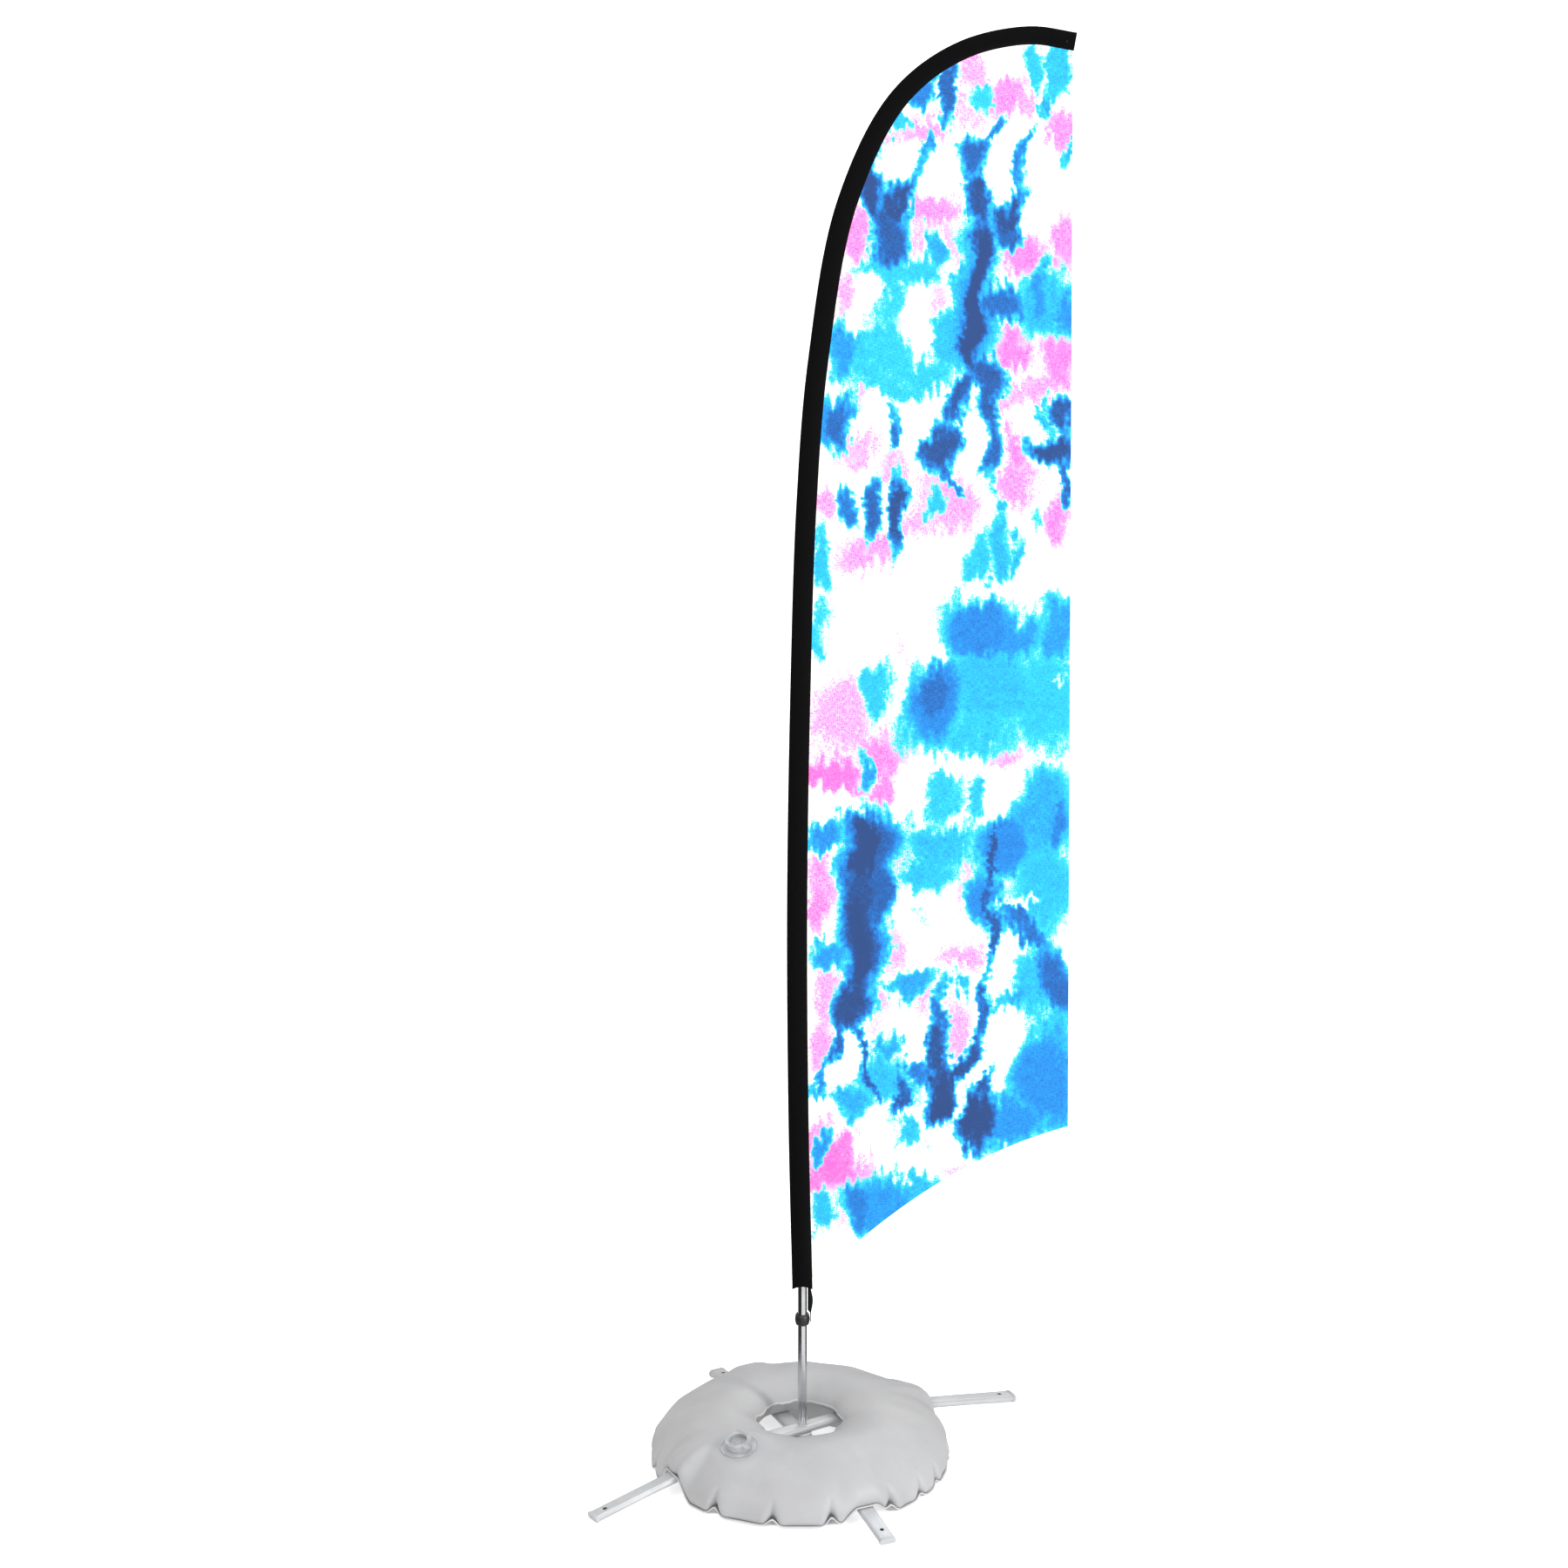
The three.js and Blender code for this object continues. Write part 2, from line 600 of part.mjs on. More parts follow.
const bagProfile = BAG_SHAPE.map(([across, up]) => [
  BAG_HOLE_RADIUS + across * (BAG_RADIUS - BAG_HOLE_RADIUS),
  BAG_UNDERSIDE + up * (HUB_TOP + BAG_CROWN_RISE - BAG_UNDERSIDE),
]);
const [valvePlace, valveSurface] = bagProfile[VALVE_STATION];
const valveTurn = new THREE.Matrix4()
  .makeTranslation(...BAG_OFFSET, 0)
  .multiply(new THREE.Matrix4().makeRotationZ(THREE.MathUtils.degToRad(VALVE_ANGLE)))
  .multiply(new THREE.Matrix4().makeTranslation(valvePlace, 0, valveSurface - VALVE_SINK))
  .multiply(new THREE.Matrix4().makeRotationY(THREE.MathUtils.degToRad(VALVE_TILT)));

function waterBag() {
  const filled = turned(bagProfile, BAG_SEGMENTS).translate(...BAG_OFFSET, 0);
  const seatCut = rod(FLANGE_RADIUS + 1, 0, 30).applyMatrix4(valveTurn);
  return cut(
    filled,
    barTunnel(upperBar),
    barTunnel(lowerBar),
    seatCut,
  );
}

place('water_bag', waterBag(), looks.vinyl());

// ---- valve, modelled upright on the bag's seat ----

const FLANGE_TOP = GAP + FLANGE_THICKNESS;
const RIM_BOTTOM = NECK_TOP + GAP;
const RIM_TOP = RIM_BOTTOM + PLUG_RIM_THICKNESS;

place('valve_base', turned([
  [NECK_BORE, GAP], [FLANGE_RADIUS, GAP], [FLANGE_RADIUS, FLANGE_TOP],
  [NECK_RADIUS, FLANGE_TOP], [NECK_RADIUS, NECK_TOP], [NECK_BORE, NECK_TOP],
]).applyMatrix4(valveTurn), looks.clearVinyl());

function valvePlug() {
  const stopper = turned([
    [0, PLUG_BOTTOM], [NECK_BORE - GAP, PLUG_BOTTOM], [NECK_BORE - GAP, RIM_BOTTOM],
    [PLUG_RIM_RADIUS, RIM_BOTTOM], [PLUG_RIM_RADIUS, RIM_TOP], [PLUG_RECESS_RADIUS, RIM_TOP],
    [PLUG_RECESS_RADIUS, PLUG_BOTTOM + PLUG_FLOOR], [0, PLUG_BOTTOM + PLUG_FLOOR],
  ]);
  const start = PLUG_RIM_RADIUS - 2;
  const tab = new THREE.BoxGeometry(TAB_LENGTH, TAB_WIDTH, PLUG_RIM_THICKNESS / 2)
    .translate(start + TAB_LENGTH / 2, 0, RIM_BOTTOM + PLUG_RIM_THICKNESS / 2)
    .rotateZ(THREE.MathUtils.degToRad(TAB_ANGLE));
  return join(stopper, tab);
}

place('valve_plug', valvePlug().applyMatrix4(valveTurn), looks.clearVinyl());

// The tether bends from the flange up to the plug's rim.
function valveTether() {
  const rimGap = PLUG_RIM_RADIUS + GAP;
  const foot = FLANGE_TOP + GAP;
  const outline = new THREE.Shape([
    [rimGap, RIM_TOP - TETHER_THICKNESS], [TETHER_REACH - TETHER_THICKNESS, RIM_TOP - TETHER_THICKNESS],
    [TETHER_REACH - TETHER_THICKNESS, foot], [TETHER_REACH, foot],
    [TETHER_REACH, RIM_TOP], [rimGap, RIM_TOP],
  ].map(([x, y]) => new THREE.Vector2(x, y)));
  return new THREE.ExtrudeGeometry(outline, { depth: TETHER_WIDTH, bevelEnabled: false })
    .rotateX(Math.PI / 2)
    .translate(0, TETHER_WIDTH / 2, 0)
    .rotateZ(THREE.MathUtils.degToRad(TETHER_ANGLE));
}

place('valve_tether', valveTether().applyMatrix4(valveTurn), looks.clearVinyl());

// ---- origin: on the floor, under the middle of the whole flag's box ----

const box = new THREE.Box3().setFromObject(flag, true);
const middle = box.getCenter(new THREE.Vector3());
flag.children.forEach((child) => child.position.sub(new THREE.Vector3(middle.x, middle.y, box.min.z)));

export default flag;
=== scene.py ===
"""The looks of a feather flag: a banner on a bowed pole, a folding cross base and a water-filled ring bag."""

import math

import bmesh
import bpy
import numpy as np
from mathutils import Matrix, Vector, noise


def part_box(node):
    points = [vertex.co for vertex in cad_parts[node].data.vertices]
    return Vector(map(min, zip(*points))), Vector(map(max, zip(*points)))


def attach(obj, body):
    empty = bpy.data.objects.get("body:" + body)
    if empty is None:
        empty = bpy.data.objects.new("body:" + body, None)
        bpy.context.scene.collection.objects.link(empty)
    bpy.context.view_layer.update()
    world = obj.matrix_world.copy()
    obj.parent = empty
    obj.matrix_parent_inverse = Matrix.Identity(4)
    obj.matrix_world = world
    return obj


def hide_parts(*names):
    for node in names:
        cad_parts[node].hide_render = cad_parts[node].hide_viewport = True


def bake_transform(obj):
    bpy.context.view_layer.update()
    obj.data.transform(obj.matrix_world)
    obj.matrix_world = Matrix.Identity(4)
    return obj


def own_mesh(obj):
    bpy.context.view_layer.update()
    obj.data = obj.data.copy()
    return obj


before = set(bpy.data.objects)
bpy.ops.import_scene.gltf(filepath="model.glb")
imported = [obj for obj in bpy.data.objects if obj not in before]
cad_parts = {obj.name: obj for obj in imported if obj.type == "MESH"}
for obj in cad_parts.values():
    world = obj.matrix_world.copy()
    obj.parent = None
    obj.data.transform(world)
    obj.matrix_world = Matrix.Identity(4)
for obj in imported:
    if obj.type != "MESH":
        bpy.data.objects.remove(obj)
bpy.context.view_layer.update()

MM = 0.001
spindle_low, spindle_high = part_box("spindle")
POLE_X = (spindle_low.x + spindle_high.x) / 2


# ---------------------------------------------------------------- camera, light and floor

VIEW_ELEVATION = math.radians(27.6)
VIEW_DISTANCE = 120.0  # far away, so that parallel edges stay parallel
VIEW_WIDTH = 2.668
VIEW_TARGET = Vector((POLE_X - 0.0313, 0.0, 1.3035))
VIEW_CLIP = 400
FLOOR_HALF = 60

# What glossy surfaces see: heading in degrees from the camera's side, and how light the wall is there.
WALLS = [
    (-178, 0.7), (-118, 0.7), (-92, 0.02), (-26, 0.02), (-10, 1.35), (60, 1.35), (92, 0.15), (130, 0.15),
    (178, 0.6),
]
ROOM_LIGHT = 0.74


def add_camera():
    data = bpy.data.cameras.new("camera")
    data.sensor_width = 36
    data.lens = data.sensor_width * VIEW_DISTANCE / VIEW_WIDTH
    data.clip_end = VIEW_CLIP
    camera = bpy.data.objects.new("camera", data)
    back = Vector((0, -math.cos(VIEW_ELEVATION), math.sin(VIEW_ELEVATION)))
    camera.location = VIEW_TARGET + back * VIEW_DISTANCE
    camera.rotation_mode = "QUATERNION"
    camera.rotation_quaternion = (-back).to_track_quat("-Z", "Y")
    bpy.context.scene.collection.objects.link(camera)
    bpy.context.scene.camera = camera


def add_softbox(name, place, aim, size, power):
    data = bpy.data.lights.new(name, "AREA")
    data.shape = "RECTANGLE"
    data.size, data.size_y = size
    data.energy = power
    light = bpy.data.objects.new(name, data)
    light.location = place
    light.rotation_mode = "QUATERNION"
    light.rotation_quaternion = (Vector(aim) - Vector(place)).to_track_quat("-Z", "Y")
    bpy.context.scene.collection.objects.link(light)


def add_reflected_room(tree):
    """White light all round, in which glossy surfaces see the dark and bright walls instead."""

    def node(kind, **settings):
        made = tree.nodes.new("ShaderNode" + kind)
        for key, value in settings.items():
            setattr(made, key, value)
        return made

    background = tree.nodes["Background"]
    background.inputs["Strength"].default_value = ROOM_LIGHT
    parts = node("SeparateXYZ")
    tree.links.new(node("TexCoord").outputs["Generated"], parts.inputs[0])
    front = node("Math", operation="MULTIPLY")
    front.inputs[1].default_value = -1
    tree.links.new(parts.outputs["Y"], front.inputs[0])
    heading = node("Math", operation="ARCTAN2")
    tree.links.new(parts.outputs["X"], heading.inputs[0])
    tree.links.new(front.outputs[0], heading.inputs[1])
    turn = node("MapRange")
    turn.inputs["From Min"].default_value = -math.pi
    turn.inputs["From Max"].default_value = math.pi
    tree.links.new(heading.outputs[0], turn.inputs["Value"])
    walls = node("ValToRGB")
    stops = walls.color_ramp.elements
    for degrees, light in WALLS:
        stops.new((degrees + 180) / 360).color = (light, light, light, 1)
    stops.remove(stops[0])
    stops.remove(stops[len(stops) - 1])
    tree.links.new(turn.outputs["Result"], walls.inputs["Fac"])
    choice = node("Mix", data_type="RGBA")
    choice.inputs["A"].default_value = (1, 1, 1, 1)
    tree.links.new(node("LightPath").outputs["Is Glossy Ray"], choice.inputs["Factor"])
    tree.links.new(walls.outputs["Color"], choice.inputs["B"])
    tree.links.new(choice.outputs["Result"], background.inputs["Color"])


def add_studio():
    world = bpy.data.worlds.new("studio")
    world.use_nodes = True
    add_reflected_room(world.node_tree)
    bpy.context.scene.world = world
    bpy.context.scene.view_settings.view_transform = "Standard"
    add_softbox("key_softbox", (-2.2, -4.4, 4.6), (0, 0, 0.9), (2.4, 2.4), 110)
    add_softbox("side_softbox", (3.2, -2.6, 1.9), (0, 0, 0.6), (0.5, 3.4), 120)
    add_softbox("rear_softbox", (1.5, 4.5, 4.0), (0, 0, 0.9), (3.0, 2.0), 90)
    add_softbox("top_softbox", (-0.4, -0.2, 5.2), (0, 0, 0), (2.2, 2.2), 90)


# ---------------------------------------------------------------- mesh helpers


def mesh_object(name, points, faces, smooth=True):
    mesh = bpy.data.meshes.new(name)
    mesh.from_pydata([tuple(p) for p in points], [], faces)
    mesh.update()
    if smooth:
        mesh.shade_smooth()
    piece = bpy.data.objects.new(name, mesh)
    bpy.context.scene.collection.objects.link(piece)
    return piece


def tidy_mesh(piece, sharp=None, join=True):
    """Joins doubled points, points the faces outwards and, given an angle, keeps sharper edges crisp."""
    work = bmesh.new()
    work.from_mesh(piece.data)
    if join:
        bmesh.ops.remove_doubles(work, verts=work.verts, dist=1e-6)
    bmesh.ops.recalc_face_normals(work, faces=work.faces)
    work.to_mesh(piece.data)
    work.free()
    piece.data.shade_smooth()
    if sharp:
        piece.data.set_sharp_from_angle(angle=math.radians(sharp))
    return piece


def end_caps(count, total):
    """The two faces that close a tube of total points, with count points round it."""
    return [tuple(range(count)), tuple(range(total - count, total))[::-1]]


def set_uv(piece, points_uv):
    """Writes a UV map from one (u, v) per point."""
    layer = piece.data.uv_layers.new(name="UVMap")
    loops = np.zeros(len(piece.data.loops), np.int32)
    piece.data.loops.foreach_get("vertex_index", loops)
    layer.data.foreach_set("uv", np.asarray(points_uv, np.float32)[loops].ravel())


def set_values(piece, name, values):
    attribute = piece.data.attributes.new(name, "FLOAT", "POINT")
    attribute.data.foreach_set("value", np.asarray(values, np.float32))


def grid_faces(rows, columns, wrap_rows=False, wrap_columns=False):
    faces = []
    for i in range(rows if wrap_rows else rows - 1):
        for j in range(columns if wrap_columns else columns - 1):
            k, m = (i + 1) % rows, (j + 1) % columns
            faces.append((i * columns + j, i * columns + m, k * columns + m, k * columns + j))
    return faces


def rounded(profile, radius, steps=4, closed=True):
    """A profile with each corner rounded, by a quadratic curve that starts radius away from it."""
    points = [np.array(p, float) for p in profile]
    out = []
    count = len(points)
    for i, corner in enumerate(points):
        if not closed and i in (0, count - 1):
            out.append(corner)
            continue
        before, after = points[i - 1], points[(i + 1) % count]
        to_before, to_after = before - corner, after - corner
        reach = min(radius, *(0.45 * np.linalg.norm(v) for v in (to_before, to_after)))
        start = corner + to_before / np.linalg.norm(to_before) * reach
        end = corner + to_after / np.linalg.norm(to_after) * reach
        for t in np.linspace(0, 1, steps):
            out.append((1 - t) ** 2 * start + 2 * t * (1 - t) * corner + t * t * end)
    return np.array(out)


def lathe(name, profile, sides=72, place=None, closed=True):
    """A turned piece. profile is (radius, height) in millimetres; place is a matrix in metres."""
    profile = np.asarray(profile, float) * MM
    turns = np.linspace(0, 2 * math.pi, sides, endpoint=False)
    points = [
        (r * math.cos(a), r * math.sin(a), z) for a in turns for r, z in profile
    ]
    faces = grid_faces(sides, len(profile), wrap_rows=True, wrap_columns=closed)
    piece = mesh_object(name, points, faces)
    if place is not None:
        piece.data.transform(place)
    return tidy_mesh(piece, sharp=42)


def refined(name, bevel=0.35):
    """A CAD node's shape: triangles merged, edges eased by bevel millimetres, round faces smooth."""
    work = bmesh.new()
    work.from_mesh(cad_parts[name].data)
    bmesh.ops.remove_doubles(work, verts=work.verts, dist=1e-5)
    bmesh.ops.dissolve_limit(
        work, angle_limit=math.radians(1), verts=work.verts, edges=work.edges
    )
    edges = [
        e for e in work.edges
        if len(e.link_faces) == 2 and e.calc_face_angle() > math.radians(32)
    ]
    bmesh.ops.bevel(
        work, geom=edges, offset=bevel * MM, segments=2, affect="EDGES",
        profile=0.7, clamp_overlap=True,
    )
    bmesh.ops.remove_doubles(work, verts=work.verts, dist=1e-6)
    bmesh.ops.triangulate(work, faces=[f for f in work.faces if len(f.verts) > 4])
    mesh = bpy.data.meshes.new(name + "_look")
    work.to_mesh(mesh)
    work.free()
    mesh.shade_smooth()
    mesh.set_sharp_from_angle(angle=math.radians(38))
    piece = bpy.data.objects.new(name + "_look", mesh)
    bpy.context.scene.collection.objects.link(piece)
    return piece


def finish_piece(piece, body, slot, look, *nodes):
    piece.data.materials.clear()
    piece.data.materials.append(look)
    if body:
        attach(piece, body)
    if nodes:
        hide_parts(*nodes)
    return piece


# ---------------------------------------------------------------- material helpers


def srgb(r, g, b):
    """A colour given in the usual 0 to 255 steps, as the linear one that nodes take."""
    linear = [
        c / 12.92 if c <= 0.04045 else ((c + 0.055) / 1.055) ** 2.4
        for c in (r / 255, g / 255, b / 255)
    ]
    return (*linear, 1.0)


class Look:
    """One material and short ways to add nodes to it."""

    def __init__(self, name, **sockets):
        self.material = bpy.data.materials.new(name)
        self.material.use_nodes = True
        self.tree = self.material.node_tree
        self.shader = self.tree.nodes["Principled BSDF"]
        for key, value in sockets.items():
            self.shader.inputs[key.replace("_", " ")].default_value = value

    def add(self, kind, inputs=(), **settings):
        made = self.tree.nodes.new("ShaderNode" + kind)
        for key, value in settings.items():
            setattr(made, key, value)
        for key, value in dict(inputs).items():
            self.feed(made.inputs[key], value)
        return made

    def feed(self, socket, value):
        if isinstance(value, bpy.types.NodeSocket):
            self.tree.links.new(value, socket)
        else:
            socket.default_value = value

    def math(self, operation, *values):
        made = self.add("Math", operation=operation)
        for socket, value in zip(made.inputs, values):
            self.feed(socket, value)
        return made.outputs[0]

    def coords(self, kind="Object"):
        return self.add("TexCoord").outputs[kind]

    def mapped(self, vector, scale):
        made = self.add("Mapping", {"Vector": vector})
        made.inputs["Scale"].default_value = scale
        return made.outputs[0]

    def noise(self, vector, scale, detail=2.0, rough=0.5):
        made = self.add(
            "TexNoise",
            {"Vector": vector, "Scale": scale, "Detail": detail, "Roughness": rough},
        )
        return made.outputs["Fac"]

    def bands(self, vector, pitch, direction="X"):
        made = self.add(
            "TexWave", {"Vector": vector, "Scale": math.pi / (10 * pitch)},
            bands_direction=direction,
        )
        return made.outputs["Fac"]

    def ramp(self, value, *stops):
        made = self.add("ValToRGB", {"Fac": value})
        elements = made.color_ramp.elements
        while len(elements) < len(stops):
            elements.new(0.5)
        for element, (place, colour) in zip(elements, stops):
            element.position = place
            element.color = colour
        return made.outputs["Color"]

    def spread(self, value, low, high, to_low=0.0, to_high=1.0):
        made = self.add(
            "MapRange",
            {"Value": value, "From Min": low, "From Max": high, "To Min": to_low, "To Max": to_high},
            interpolation_type="SMOOTHSTEP",
        )
        return made.outputs[0]

    def mix(self, share, a, b):
        made = self.add("Mix", data_type="RGBA")
        for socket, value in zip((made.inputs[0], made.inputs[6], made.inputs[7]), (share, a, b)):
            self.feed(socket, value)
        return made.outputs[2]

    def bump(self, height, distance, under=None):
        made = self.add("Bump", {"Height": height, "Distance": distance, "Strength": 1.0})
        if under is not None:
            self.feed(made.inputs["Normal"], under)
        return made.outputs[0]

    def colour(self, value):
        self.feed(self.shader.inputs["Base Color"], value)

    def rough(self, value):
        self.feed(self.shader.inputs["Roughness"], value)

    def normal(self, value):
        self.feed(self.shader.inputs["Normal"], value)


# ---------------------------------------------------------------- materials


def wear(look, vector, low, high, scale=60.0):
    """A roughness that wanders between low and high, with finer scuffs in it."""
    broad = look.noise(vector, scale, 3, 0.6)
    scuffs = look.noise(look.mapped(vector, (9, 9, 1)), scale * 3, 2, 0.7)
    return look.spread(look.math("ADD", look.math("MULTIPLY", broad, 0.6),
                                 look.math("MULTIPLY", scuffs, 0.4)), 0.3, 0.7, low, high)


def moulded(name, colour, low, high, grain=0.00004, **sockets):
    """Moulded plastic or rubber: faint cloudiness, uneven gloss and a fine grain."""
    look = Look(name, **sockets)
    where = look.coords()
    cloud = look.spread(look.noise(where, 35, 3), 0.3, 0.7)
    look.colour(look.mix(cloud, tuple(0.93 * c for c in colour[:3]) + (1,), colour))
    look.rough(wear(look, where, low, high))
    look.normal(look.bump(look.noise(where, 1400, 2, 0.6), grain))
    return look.material


def metal(name, colour, low, high, drawn=(1, 1, 0.02)):
    """Metal with fine lines drawn along Z, a patchy gloss and faint tarnish."""
    look = Look(name, Metallic=1.0)
    where = look.coords()
    lines = look.noise(look.mapped(where, drawn), 2600, 3, 0.6)
    tarnish = look.spread(look.noise(where, 22, 4, 0.65), 0.35, 0.75)
    look.colour(look.mix(tarnish, colour, tuple(0.86 * c for c in colour[:3]) + (1,)))
    look.rough(look.math("ADD", wear(look, where, low, high),
                         look.math("MULTIPLY", look.spread(lines, 0.45, 0.75), 0.05)))
    look.normal(look.bump(lines, 0.000008))
    return look.material


def coated_bar():
    """Satin light grey bar stock: pores and a few rubbed patches."""
    look = Look("satin_bar", Metallic=0.25, Coat_Weight=0.15, Coat_Roughness=0.3)
    where = look.coords()
    patch = look.spread(look.noise(where, 14, 4, 0.6), 0.35, 0.7)
    fine = look.noise(where, 900, 3, 0.6)
    tone = look.mix(patch, srgb(182, 183, 184), srgb(171, 173, 175))
    look.colour(look.mix(look.spread(fine, 0.55, 0.8, 0, 0.25), tone, srgb(154, 156, 159)))
    look.rough(wear(look, where, 0.34, 0.5, 40))
    look.normal(look.bump(fine, 0.00003))
    return look.material


def woven(name, colour, light, pitch, stitches=(), sheen=0.35):
    """Plain woven cloth on UVs in metres, u across it and v along it, with stitch lines at (u, spacing)."""
    look = Look(name, Sheen_Weight=sheen, Sheen_Roughness=0.45)
    look.shader.inputs["Specular IOR Level"].default_value = 0.06
    where = look.coords("UV")
    warp = look.bands(where, pitch, "X")
    weft = look.bands(where, pitch, "Y")
    weave = look.math("MULTIPLY", warp, weft)
    slub = look.noise(look.mapped(where, (1, 0.08, 1)), 700, 3, 0.6)
    share = look.math("ADD", look.math("MULTIPLY", weave, 0.5), look.math("MULTIPLY", slub, 0.5))
    tone = look.mix(look.spread(share, 0.2, 0.85), colour, light)
    height = look.math("ADD", weave, look.math("MULTIPLY", slub, 0.6))
    across = look.add("SeparateXYZ", {0: where})
    thread_colour = tuple(2.2 * c for c in light[:3]) + (1,)
    for place, spacing in stitches:
        near = look.math("ABSOLUTE", look.math("SUBTRACT", across.outputs[0], place))
        line = look.spread(near, 0.0005, 0.0011, 1, 0)
        dash = look.spread(look.bands(where, spacing, "Y"), 0.25, 0.5)
        thread = look.math("MULTIPLY", line, dash)
        tone = look.mix(look.math("MULTIPLY", thread, 0.5), tone, thread_colour)
        height = look.math("ADD", height, look.math("MULTIPLY", thread, 4.0))
    look.colour(tone)
    look.rough(look.spread(slub, 0.3, 0.7, 0.72, 0.92))
    look.normal(look.bump(height, 0.00012))
    return look.material


def filled_vinyl():
    """Smooth pale grey PVC sheet: the weld band is pressed finer and lighter than the skin; dark grey painted
    shade lies in the folds and along the weld's edges.
    """
    look = Look("pale_vinyl")
    look.shader.inputs["Specular IOR Level"].default_value = 0.35
    where = look.coords()
    cloud = look.spread(look.noise(where, 7, 4, 0.55), 0.3, 0.7)
    skin = look.mix(cloud, srgb(155, 155, 156), srgb(163, 163, 164))
    dust = look.spread(look.noise(where, 90, 5, 0.7), 0.52, 0.8, 0, 0.22)
    skin = look.mix(dust, skin, srgb(144, 144, 145))
    weld = look.add("Attribute", attribute_name="weld").outputs["Fac"]
    painted_crease_shade = look.add("Attribute", attribute_name="painted_crease_shade").outputs["Fac"]
    pressed = look.math("MULTIPLY", look.bands(where, 0.0024, "DIAGONAL"), weld)
    skin = look.mix(weld, skin, srgb(184, 184, 185))
    # Painted shade: the folds and the weld's edges are darkened towards dark grey.
    look.colour(look.mix(painted_crease_shade, skin, srgb(70, 70, 72)))
    look.rough(look.math("SUBTRACT", wear(look, where, 0.42, 0.56, 30),
                         look.math("MULTIPLY", weld, 0.12)))
    fine = look.bump(look.noise(where, 1100, 2, 0.6), 0.00002)
    look.normal(look.bump(pressed, 0.00012, under=fine))
    return look.material


def clear_vinyl():
    """Soft see-through PVC of the valve: slightly milky, glossy, with faint flow lines."""
    look = Look("clear_vinyl", Transmission_Weight=0.2, IOR=1.5, Coat_Weight=0.3, Coat_Roughness=0.12)
    where = look.coords()
    milk = look.spread(look.noise(where, 60, 3), 0.3, 0.7)
    look.colour(look.mix(milk, srgb(168, 170, 172), srgb(182, 183, 185)))
    look.rough(wear(look, where, 0.14, 0.28, 80))
    flow = look.noise(look.mapped(where, (1, 1, 4)), 160, 3, 0.6)
    look.normal(look.bump(flow, 0.0001))
    return look.material


def pale_floor():
    """Nearly white paper that glows a little, so that no shadow on it gets deep."""
    look = Look("studio_floor", Roughness=0.9, Emission_Strength=0.55)
    where = look.coords()
    look.colour(look.mix(look.spread(look.noise(where, 1.3, 3), 0.3, 0.7),
                         (0.9, 0.9, 0.9, 1), (0.92, 0.92, 0.92, 1)))
    return look.material


# The print: dyed shapes in centimetres on the flag, x from the pole's line and z above the floor, as
# (x, z, half width, half height, lean in degrees, strength). Stronger dye goes from cyan to navy.

